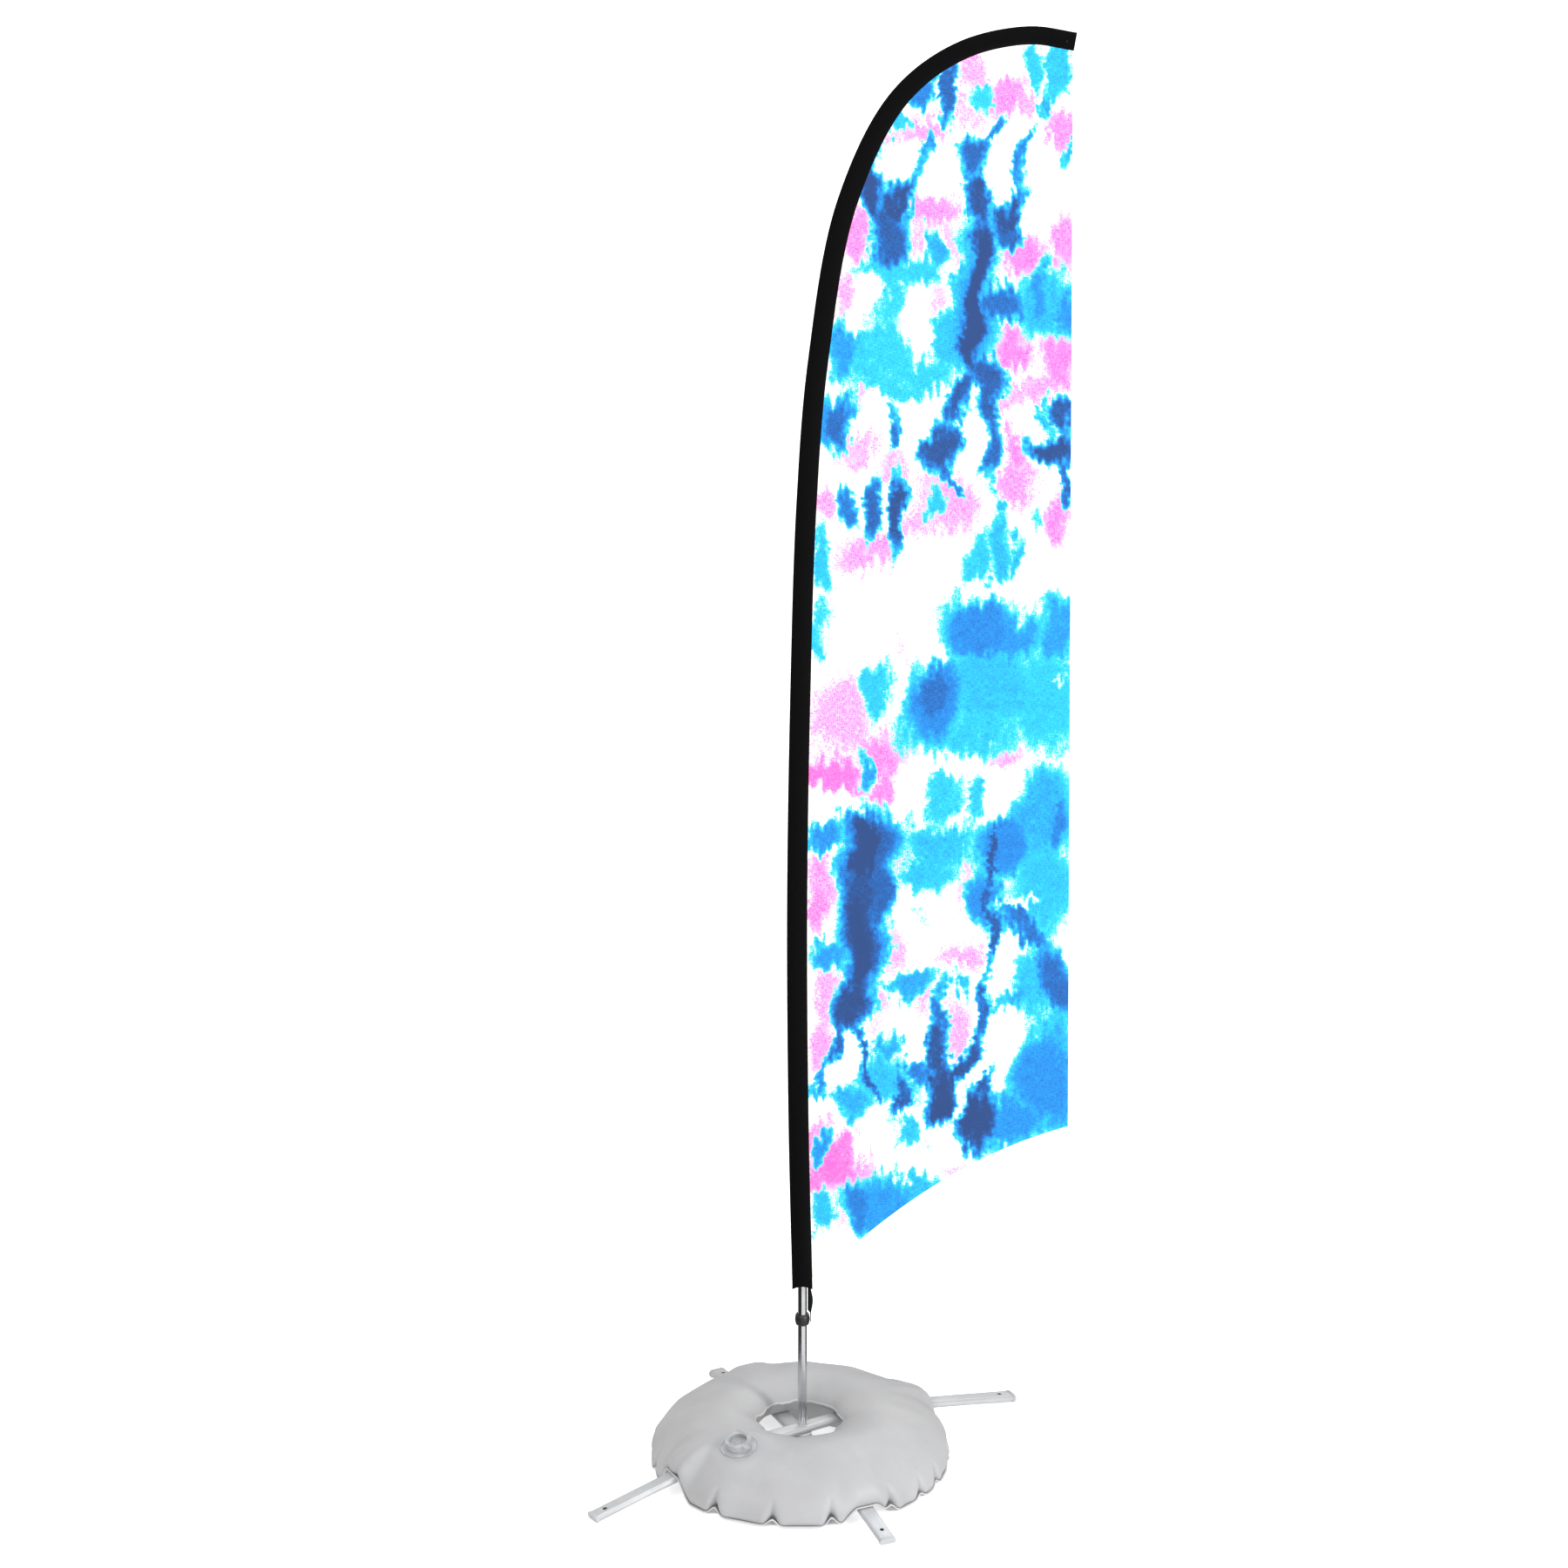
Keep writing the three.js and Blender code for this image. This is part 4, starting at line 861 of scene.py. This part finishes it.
def banner_outline(steps_up, steps_across):
    """Grid points of the banner: up from the lower hem, and across from the sleeve to the free edge."""
    first = SLEEVE_START + BANNER_HEEL
    share = np.linspace(0, 1, steps_up)
    place, tangent = spine.at(first + share * (spine.length - 0.0015 - first))
    left = place + np.c_[tangent[:, 1], -tangent[:, 0]] * (SLEEVE_HALF - 0.0012)
    heel = left[0]
    corner = np.array([POLE_X + BOW_REACH - BANNER_INSET, heel[1] + BANNER_RISE])
    top = left[-1]
    middle = (heel + corner) / 2 + [0, BANNER_HOLLOW]
    rise = np.clip((left[:, 1] - heel[1]) / (top[1] - heel[1]), 0, 1)
    climb = 0.55 * share + 0.45 * rise
    climb = climb / climb[-1]
    right = corner + climb[:, None] * (top - corner)
    across = np.linspace(0, 1, steps_across)[:, None]
    grid = left[:, None, :] * (1 - across)[None] + right[:, None, :] * across[None]
    hem = (1 - across) ** 2 * heel + 2 * across * (1 - across) * middle + across**2 * corner
    fade = np.clip(1 - share / HEM_FADE, 0, 1) ** 2 * (1 + 2 * np.clip(share / HEM_FADE, 0, 1))
    return grid + fade[:, None, None] * (hem - grid[0])[None]


def make_banner():
    """Thin cloth with turned hems on its two free edges, drawn gently into folds by the bowed pole."""
    up, across = 560, 120
    grid = banner_outline(up, across)
    width = np.linalg.norm(np.diff(grid, axis=1), axis=2)
    from_free = np.cumsum(width[:, ::-1], axis=1)[:, ::-1]
    from_free = np.c_[from_free, np.zeros(up)]
    height = np.linalg.norm(np.diff(grid, axis=0), axis=2)
    from_hem = np.vstack([np.zeros(across), np.cumsum(height, axis=0)])
    edge = np.minimum(from_free, from_hem)
    along = np.where(from_free < from_hem, grid[:, :, 1], grid[:, :, 0] + 0.7 * grid[:, :, 1])
    x, z = grid[:, :, 0] - POLE_X, grid[:, :, 1]
    loose = np.clip(1 - from_free / 0.42, 0, 1) ** 1.3
    wave = 0.0035 * loose * np.sin(5.2 * z + 2.1 * x + 0.4) + 0.002 * loose * np.sin(11.3 * z - 7 * x + 1.1)
    from_sleeve = width.sum(1)[:, None] - from_free
    tight = np.exp(-((from_sleeve / 0.09) ** 2))
    wave = wave + 0.0007 * tight * np.sin(46 * z + 30 * x) * np.clip(np.sin(3.1 * z + 0.6), 0, 1)
    wave = wave * np.clip(from_sleeve / 0.02, 0, 1)
    thick = np.where(edge < HEM_WIDTH, 0.00055, 0.0003)
    points = []
    for side in (-1, 1):
        for i in range(up):
            for j in range(across):
                points.append((grid[i, j, 0], wave[i, j] + side * thick[i, j], grid[i, j, 1]))
    front = grid_faces(up, across)
    back = up * across
    faces = [f[::-1] for f in front] + [tuple(back + i for i in f) for f in front]
    rim = [i * across for i in range(up - 1, 0, -1)] + list(range(across - 1))
    rim += [i * across + across - 1 for i in range(up - 1)]
    rim += [(up - 1) * across + j for j in range(across - 1, 0, -1)]
    for a, b in zip(rim, rim[1:] + rim[:1]):
        faces.append((a, b, back + b, back + a))
    piece = mesh_object("banner_look", points, faces)
    places = wicked(np.c_[(grid[..., 0].ravel() - POLE_X) * 100, grid[..., 1].ravel() * 100])
    dyed = 1 - np.clip(dye_field(places, BARE_CLOTH), 0, 1)
    set_values(piece, "pink_dye", np.tile(dye_field(places, PINK_DYE) * dyed, 2))
    set_values(piece, "blue_dye", np.tile(dye_field(places, BLUE_DYE) * dyed, 2))
    set_values(piece, "hem", np.tile(edge.ravel(), 2))
    set_values(piece, "along", np.tile(along.ravel(), 2))
    return tidy_mesh(piece, sharp=50, join=False)


# ---------------------------------------------------------------- tensioner (mm)

COLLAR_Z, COLLAR_RADIUS = 273, 12.9
STRAP_BULGE, STRAP_HALF, STRAP_GAP = 4.4, 0.8, 0.3
POLE_SIDE = 9.0  # the strap's inner edge beside the pole


def make_collar():
    """A barrel-shaped rubber ring with eased edges and two shallow grip grooves."""
    half, inner, end, belly = 9.5, 8.3, 11.5, 12.85
    groove = [(belly - 0.1, -1.9), (belly - 0.45, -1.55), (belly - 0.05, -1.2),
              (belly, 0), (belly - 0.05, 1.2), (belly - 0.45, 1.55), (belly - 0.1, 1.9)]
    profile = [(inner, -half + 0.5), (inner + 0.5, -half), (end - 0.7, -half), (end, -half + 0.6),
               (belly - 0.5, -4.6), *groove, (belly - 0.5, 4.6), (end, half - 0.6),
               (end - 0.7, half), (inner + 0.5, half), (inner, half - 0.5)]
    place = Matrix.Translation((POLE_X, 0, COLLAR_Z * MM))
    return lathe("tension_collar_look", profile, 64, place)


def make_strap():
    """Elastic webbing from inside the sleeve, bowed out and down to the collar's side."""
    bulge = COLLAR_RADIUS + STRAP_BULGE
    collar_side = COLLAR_RADIUS + STRAP_GAP
    on_collar = collar_side + STRAP_HALF
    route = smooth_through(
        [(13.6, 350), (13.9, 332), (15.6, 322), (bulge, 312), (bulge - 0.4, 301),
         (on_collar + 0.8, 288), (on_collar, 279), (on_collar, 267)], 9,
    )
    tangent = np.gradient(route, axis=0)
    tangent /= np.linalg.norm(tangent, axis=1)[:, None]
    side, half = 1.1, STRAP_HALF
    ring = rounded([(side, half), (-side, half), (-side, -half), (side, -half)], 0.6, 4)
    points, uv = [], []
    gone = 0.0
    for k, ((x, z), (tx, tz)) in enumerate(zip(route, tangent)):
        if k:
            gone += np.linalg.norm(route[k] - route[k - 1])
        # The elastic stands on edge: its inner edge follows the pole, then the collar's side.
        inner = POLE_SIDE + (collar_side - POLE_SIDE) * float(smooth_step((291 - z) / 7))
        for b, a in ring:
            if a < 0:
                across, up = x + (x - inner) * a / half, z
            else:
                across, up = x - a * tz, z + a * tx
            points.append((POLE_X + across * MM, b * MM, up * MM))
            uv.append((across * MM, gone * MM))
    faces = grid_faces(len(route), len(ring), wrap_columns=True) + end_caps(len(ring), len(points))
    piece = mesh_object("tension_strap_look", points, faces)
    set_uv(piece, uv)
    return tidy_mesh(piece, sharp=50, join=False)


# ---------------------------------------------------------------- water bag (mm, but for its middle)

BAG_X, BAG_Y = POLE_X - 0.004, -0.010
BAG_SIDES = 540
CROWN_RADIUS, HOLE_RADIUS = 150, 71
SEAM_RADIUS, SEAM_Z, BAG_TOP = 253.0, 8.0, 105.0
UPPER_BAR = (62.0, 416.0, 31.6)  # the bar's height at the hub and its reach in mm, and its heading
LOWER_BAR = (47.0, 335.0, -64.5)
BAR_FLAT, BAR_BLEND, BAR_END_Z = 125.0, 165.0, 6.4
BAR_SIDE, BAR_SPREAD, BAR_HALF_HEIGHT = 16, 38, 6.2

# (bearing round the bag in degrees, strength) of each place where the weld is gathered
PUCKERS = [
    (15, 0.6), (38, 0.8), (60, 0.7), (82, 0.9), (104, 0.7), (127, 0.9), (150, 0.7), (171, 0.8),
    (192, 0.75), (213, 0.5), (234.5, 1.1), (259, 0.95), (282.5, 1.15), (308.5, 1.1), (325, 0.7),
    (337, 0.75), (355, 0.8),
]

UPPER_SKIN = [
    (251.5, 10.5), (254.0, 17), (254.5, 26), (251.5, 39), (244.5, 52), (232, 66), (213, 81), (189, 93.5),
    (164, 101), (140, 104.6), (116, 103.5), (95, 98.5), (81, 91.5), (74, 85.5), (71.8, 82.8),
]
LIP = [(70.6, 82.0), (69.9, 80.8), (70.4, 79.4), (71.8, 78.6)]
LOWER_SKIN = [
    (73.5, 76), (77.5, 68), (86, 53), (97, 36), (110, 20), (128, 7.5), (150, 1.6), (182, 1.4), (215, 1.5),
    (238, 1.9), (247, 3.0), (250.4, 4.6),
]
WELD = [(251.8, 6.0), (254.2, 6.4), (255.8, 7.4), (255.8, 8.6), (254.2, 9.4), (252.4, 9.6)]


def bar_middle(along, hub_z, reach):
    """Height in mm of a bar's middle at a distance from the pole's line."""
    slope = (hub_z - BAR_END_Z) / (reach - (BAR_FLAT + BAR_BLEND) / 2)
    straight = BAR_END_Z + slope * (reach - along)
    t = np.clip((along - BAR_FLAT) / (BAR_BLEND - BAR_FLAT), 0, 1)
    blend = hub_z - slope * (BAR_BLEND - BAR_FLAT) / 2 * t * t
    return np.where(along < BAR_BLEND, blend, straight)


def over_bars(x, y):
    """For points in metres: the height in mm that clears the bar below, and its share from 0 to 1."""
    top, share = np.zeros(np.shape(x)), np.zeros(np.shape(x))
    for hub_z, reach, heading in (UPPER_BAR, LOWER_BAR):
        a = math.radians(heading)
        px, py = (x - POLE_X) / MM, y / MM
        along = np.abs(px * math.cos(a) + py * math.sin(a))
        off = np.abs(-px * math.sin(a) + py * math.cos(a))
        near = smooth_step(1 - (off - BAR_SIDE) / BAR_SPREAD)
        height = bar_middle(along, hub_z, reach) + BAR_HALF_HEIGHT
        better = near > share
        top, share = np.where(better, height, top), np.where(better, near, share)
    return top, share


def turned(degrees, axis="Z"):
    return Matrix.Rotation(math.radians(degrees), 4, axis)


VALVE_BEARING, VALVE_OUT, VALVE_HEIGHT, VALVE_TILT = 231, 165, 98.78, 12
SEAT_RADIUS, SEAT_BLEND = 36, 26


def valve_place():
    centre = Matrix.Translation((BAG_X, BAG_Y, 0))
    seat = Matrix.Translation((VALVE_OUT * MM, 0, VALVE_HEIGHT * MM))
    return centre @ turned(VALVE_BEARING) @ seat @ turned(VALVE_TILT, "Y")


def travelled(line):
    return np.r_[0, np.cumsum(np.linalg.norm(np.diff(line, axis=0), axis=1))]


SKIN, HOLE_LIP, UNDERSIDE, RIM = range(4)


class BagSkin:
    """The bag's points as radius and height, in rows round the ring and columns round its section."""

    def __init__(self):
        upper, lower = smooth_through(UPPER_SKIN, 5), smooth_through(LOWER_SKIN, 4)
        parts = (upper, np.array(LIP), lower, np.array(WELD))
        section = np.vstack(parts)
        self.kind = np.repeat(range(len(parts)), [len(part) for part in parts])
        self.seam = len(section) - 3
        self.rise, self.fall = np.zeros(len(section)), np.zeros(len(section))
        self.rise[self.kind == SKIN] = travelled(upper)
        self.fall[self.kind == UNDERSIDE] = travelled(lower[::-1])[::-1]
        self.turns = np.linspace(0, 2 * math.pi, BAG_SIDES, endpoint=False)
        self.bearing = np.degrees(self.turns)[:, None]
        self.radius = np.tile(section[:, 0], (BAG_SIDES, 1))
        self.height = np.tile(section[:, 1], (BAG_SIDES, 1))
        # How much painted shade darkens each point: in the folds and at the weld.
        self.painted_crease_shade = np.zeros_like(self.radius)
        self.outer = np.clip((self.radius - CROWN_RADIUS) / (SEAM_RADIUS - CROWN_RADIUS), 0, 1)
        self.inner = np.clip((CROWN_RADIUS - self.radius) / (CROWN_RADIUS - HOLE_RADIUS), 0, 1)

    def straighten_rim(self):
        """The rim runs nearly straight from one gather to the next."""
        angles = np.array([place for place, _ in PUCKERS])
        after = np.searchsorted(angles, self.bearing[:, 0]) % len(angles)
        start, end = angles[after - 1], angles[after]
        half = ((end - start) % 360) / 2
        off_middle = (self.bearing[:, 0] - (start + half) % 360 + 180) % 360 - 180
        chord = np.cos(np.radians(half)) / np.cos(np.radians(off_middle))
        self.radius -= (SEAM_RADIUS * (1 - chord) * 0.55)[:, None] * self.outer**3

    def fill_unevenly(self):
        """Uneven filling, long soft folds that run in from the rim, and the hole's own outline."""
        broad, middling, fine = (
            np.array([[noise.noise(Vector((math.cos(a) * f, math.sin(a) * f, f)))] for a in self.turns])
            for f in (1.1, 2.6, 6.5)
        )
        self.height += smooth_step((self.height - 55) / 30) * (1.6 * broad + 1.2 * middling)
        fold = np.sin(np.radians(self.bearing) * len(PUCKERS) + 3 * middling)
        shallow = self.outer * (1 - self.outer) * 4 * np.clip(self.height / 99, 0, 1)
        self.height += (self.kind == SKIN) * 0.9 * fold * shallow
        self.radius += (2.4 * middling + 1.2 * fine) * self.outer**2
        hole = 2.6 * np.cos(np.radians(8 * (self.bearing - 178))) + 2.0 * fine
        hole += 3.0 * np.exp(-(((self.bearing - 178) / 14) ** 2))
        hole -= 3.4 * np.exp(-(((self.bearing - 262) / 40) ** 2))
        self.radius += hole * self.inner**2
        self.height += 1.5 * fine * self.inner**3

    def gather(self, place, strength):
        """Draws the weld up and in at one place, with a fold above it that tapers out, and paints shade into
        that fold and into the band under the weld.
        """
        skin, under, rim = self.kind == SKIN, self.kind == UNDERSIDE, self.kind == RIM
        side = np.radians((self.bearing - place + 180) % 360 - 180) * SEAM_RADIUS
        near = np.exp(-((self.rise / 26) ** 2)) * skin + rim + np.exp(-((self.fall / 9) ** 2)) * under
        bell = np.exp(-((side / 10.5) ** 2)) * near
        self.height += 12.5 * strength * bell
        self.radius -= 3.2 * strength * bell
        run = skin * np.clip(1 - self.rise / (44 + 8 * strength), 0, 1)
        slim = 3.4 + 5 * run
        notch = np.exp(-((side / slim) ** 2)) * run**0.8
        self.radius -= 7.5 * strength * notch
        self.height -= 2 * strength * notch
        shoulder = np.exp(-(((np.abs(side) - 17) / 10) ** 2)) * run
        self.radius += 2 * strength * shoulder
        band = under * np.exp(-((self.fall / 10) ** 2))
        self.radius -= 3 * strength * np.exp(-((side / 4.5) ** 2)) * band
        # Painted shade, kept as a share of darkness: along the fold above the weld and in the band beneath
        # it.
        for depth, width, share in ((0.55, slim * 0.45, run**1.5), (0.6, 3.5, band)):
            line = depth * strength * np.exp(-((side / width) ** 2)) * share
            self.painted_crease_shade = np.maximum(self.painted_crease_shade, line)

    def plan(self):
        x = BAG_X + self.radius * MM * np.cos(self.turns)[:, None]
        y = BAG_Y + self.radius * MM * np.sin(self.turns)[:, None]
        return x, y

    def lay_over_bars(self):
        """Lifts the rim and the skin above each bar, then the underside, which stays below the rim."""
        under = self.kind == UNDERSIDE
        x, y = self.plan()
        top, share = over_bars(x[:, self.seam], y[:, self.seam])
        lift = np.maximum(0, top + 4.5 - self.height[:, self.seam]) * share
        share_up = np.clip((BAG_TOP - self.height) / (BAG_TOP - SEAM_Z), 0, 1)
        outside = (self.radius > CROWN_RADIUS) & ((self.kind == SKIN) | (self.kind == RIM))
        self.height += outside * lift[:, None] * share_up
        top, share = over_bars(x, y)
        room = 1.2 + 1.4 * np.clip((self.radius - 236) / 14, 0, 1)
        self.height += under * np.maximum(0, top + room - self.height) * share
        ceiling = self.height[:, [self.seam]] - 3
        low = np.minimum(self.height, ceiling)
        self.height = np.where(under & (self.radius > 240), low, self.height)

    def points(self):
        """The points in metres, with the skin pressed flat under the valve."""
        x, y = self.plan()
        place = np.array(valve_place())
        local = np.stack([x, y, self.height * MM, np.ones_like(x)], axis=-1) @ np.linalg.inv(place).T
        off = np.hypot(local[..., 0], local[..., 1]) / MM
        seat = smooth_step((SEAT_RADIUS + SEAT_BLEND - off) / SEAT_BLEND) * (self.kind == SKIN)
        local[..., 2] = local[..., 2] * (1 - seat) + seat * 0.1 * MM
        return (local @ place.T)[..., :3].reshape(-1, 3)


def make_bag():
    """A filled ring: two sheets welded at the hole and the rim, gathered there and laid over the bars."""
    ring = BagSkin()
    ring.straighten_rim()
    ring.fill_unevenly()
    for place, strength in PUCKERS:
        ring.gather(place, strength)
    ring.lay_over_bars()
    columns = len(ring.kind)
    faces = grid_faces(BAG_SIDES, columns, wrap_rows=True, wrap_columns=True)
    piece = mesh_object("water_bag_look", ring.points(), faces)
    welded = (ring.kind == RIM) | (ring.kind == HOLE_LIP)
    # Painted shade also runs along the weld bead's upper and lower edges, joined with the fold shade.
    lines = np.isin(np.arange(columns), (0, columns - 1, columns - len(WELD) - 1))
    set_values(piece, "weld", np.tile(welded.astype(float), BAG_SIDES))
    set_values(piece, "painted_crease_shade", np.clip(np.maximum(ring.painted_crease_shade, 0.75 * lines), 0, 1).ravel())
    return tidy_mesh(piece, join=False)


# ---------------------------------------------------------------- filler valve, upright on its seat (mm)

TAB_TURN, TETHER_TURN = 70, 215
TAB_LOW, TAB_HIGH = 14.0, 15.9


def make_valve_base():
    profile = rounded([
        (17.3, 0.3), (32, 0.3), (32, 2.1), (30.2, 2.1), (29.6, 1.5), (28.6, 1.5), (28.0, 2.1),
        (21.5, 2.1), (21.5, 13.0), (17.3, 13.0),
    ], 0.45, 4)
    return lathe("valve_base_look", profile, 96, valve_place())


def make_valve_plug():
    profile = rounded([
        (0.01, 4.0), (17.0, 4.0), (17.0, 13.3), (22.5, 13.3), (22.5, 16.3), (19.6, 16.3), (19.0, 15.6),
        (18.2, 15.6), (17.6, 16.3), (15.5, 16.3), (15.5, 8.0), (6.5, 8.0), (6.0, 8.7), (5.2, 8.7),
        (4.7, 8.0), (0.01, 8.0),
    ], 0.5, 4, closed=False)
    piece = lathe("valve_plug_look", profile, 96, closed=False)
    tab = rounded([(20.5, -5), (33.3, -4.2), (33.3, 4.2), (20.5, 5)], 2.4, 6)
    turn = turned(TAB_TURN)
    work = bmesh.new()
    low, high = (
        [work.verts.new(turn @ Vector((x * MM, y * MM, z * MM))) for x, y in tab] for z in (TAB_LOW, TAB_HIGH)
    )
    work.faces.new(low[::-1])
    top = work.faces.new(high)
    for k in range(len(tab)):
        m = (k + 1) % len(tab)
        work.faces.new((low[k], low[m], high[m], high[k]))
    bmesh.ops.inset_region(work, faces=[top], thickness=0.0009, depth=-0.0004)
    bmesh.ops.recalc_face_normals(work, faces=work.faces)
    work.from_mesh(piece.data)
    work.to_mesh(piece.data)
    work.free()
    piece.data.transform(valve_place())
    piece.data.shade_smooth()
    piece.data.set_sharp_from_angle(angle=math.radians(42))
    return piece


def make_tether():
    """A soft strip that rises from the flange and bends over to the plug's rim, with a notch at its hinge."""
    route = smooth_through(
        [(28.3, 2.5), (28.5, 7), (28.2, 12.5), (26.8, 15.2), (24.6, 15.6), (22.8, 15.6)], 8
    )
    tangent = np.gradient(route, axis=0)
    tangent /= np.linalg.norm(tangent, axis=1)[:, None]
    points = []
    for k, ((x, z), (tx, tz)) in enumerate(zip(route, tangent)):
        half = 4.0 - 1.1 * math.exp(-((k / len(route) - 0.62) / 0.07) ** 2)
        ring = rounded([(half, 0.7), (-half, 0.7), (-half, -0.7), (half, -0.7)], 0.5, 4)
        points += [((x + a * tz) * MM, b * MM, (z - a * tx) * MM) for b, a in ring]
    faces = grid_faces(len(route), len(ring), wrap_columns=True) + end_caps(len(ring), len(points))
    piece = mesh_object("valve_tether_look", points, faces)
    piece.data.transform(valve_place() @ turned(TETHER_TURN))
    return tidy_mesh(piece, sharp=50)


# ---------------------------------------------------------------- putting it together

add_camera()
add_studio()

corners = [(FLOOR_HALF * x, FLOOR_HALF * y, 0) for x, y in ((-1, -1), (1, -1), (1, 1), (-1, 1))]
floor = mesh_object("studio_floor", corners, [(0, 1, 2, 3)], smooth=False)
floor.data.materials.append(pale_floor())
floor.visible_glossy = False

satin_bar = coated_bar()
grey_plastic = moulded("grey_plastic", srgb(168, 170, 172), 0.4, 0.58)
zinc = metal("zinc_steel", srgb(176, 178, 182), 0.26, 0.42, drawn=(1, 1, 1))
nylon = moulded("natural_nylon", srgb(226, 226, 220), 0.4, 0.55, Subsurface_Weight=0.1)
chrome = metal("polished_chrome", srgb(226, 227, 229), 0.12, 0.2)
resin = moulded("dark_fibreglass", srgb(44, 44, 47), 0.22, 0.38)
rubber = moulded("black_rubber", srgb(30, 30, 32), 0.34, 0.5, 0.00005)
sleeve_cloth = woven("black_sleeve_cloth", srgb(3, 3, 4), srgb(12, 12, 13), 0.0009,
                     stitches=((0.0025, 0.003), (0.0055, 0.003)), sheen=0.01)
webbing = woven("black_elastic", srgb(8, 8, 9), srgb(34, 34, 37), 0.0011, sheen=0.1)
print_cloth = printed_cloth()
vinyl = filled_vinyl()
soft_clear = clear_vinyl()

finish_piece(refined("upper_leg_bar"), "base", "bar_metal", satin_bar, "upper_leg_bar")
finish_piece(refined("lower_leg_bar"), "lower_leg", "bar_metal", satin_bar, "lower_leg_bar")
for node in ("end_cap_right_back", "end_cap_left_front"):
    finish_piece(refined(node, 0.8), "base", "grey_plastic", grey_plastic, node)
for node in ("end_cap_right_front", "end_cap_left_back"):
    finish_piece(refined(node, 0.8), "lower_leg", "grey_plastic", grey_plastic, node)
for node, slot, look, body in (
    ("spindle", "steel", zinc, "base"), ("lower_washer", "steel", zinc, "base"),
    ("lock_nut", "steel", zinc, "base"), ("pivot_disc", "nylon", nylon, "base"),
    ("thrust_washer", "nylon", nylon, "base"), ("spindle_bush_lower", "nylon", nylon, "rotor"),
    ("spindle_bush_upper", "nylon", nylon, "rotor"), ("stop_ring_1", "rubber", rubber, "mast"),
    ("stop_ring_2", "rubber", rubber, "mast"), ("stop_ring_3", "rubber", rubber, "mast"),
    ("pole_tip_cap", "rubber", rubber, "mast"),
):
    finish_piece(refined(node, 0.2), body, slot, look, node)
for node, look in (("pole_tube_middle", zinc), ("pole_tube_upper", resin), ("pole_tip_rod", resin)):
    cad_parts[node].data.materials.clear()
    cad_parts[node].data.materials.append(look)

finish_piece(make_chrome_tube(), "mast", "chrome", chrome, "pole_tube_lower")
sleeve_end = spine.length - POCKET_LENGTH
sleeve = sleeve_mesh("pole_sleeve_look", SLEEVE_START, sleeve_end - 0.0003, SLEEVE_ARCH, False)
finish_piece(sleeve, "mast", "black_fabric", sleeve_cloth, "pole_sleeve")
pocket = sleeve_mesh("sleeve_tip_pocket_look", sleeve_end, spine.length, 0.0, True)
finish_piece(pocket, "mast", "black_fabric", sleeve_cloth, "sleeve_tip_pocket")
banner = make_banner()
finish_piece(banner, "mast", "print", print_cloth, "banner")
finish_piece(make_collar(), "collar", "rubber", rubber, "tension_collar")
strap = finish_piece(make_strap(), None, "black_fabric", webbing, "tension_strap")
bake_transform(strap)

bag = finish_piece(make_bag(), "bag", "vinyl", vinyl, "water_bag")
# The bag flattens towards the valve's seat, so that its skin stays put round the plug.
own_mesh(bag)
finish_piece(make_valve_base(), "bag", "clear_vinyl", soft_clear, "valve_base")
finish_piece(make_valve_plug(), "plug", "clear_vinyl", soft_clear, "valve_plug")
tether = finish_piece(make_tether(), None, "clear_vinyl", soft_clear, "valve_tether")
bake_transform(tether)
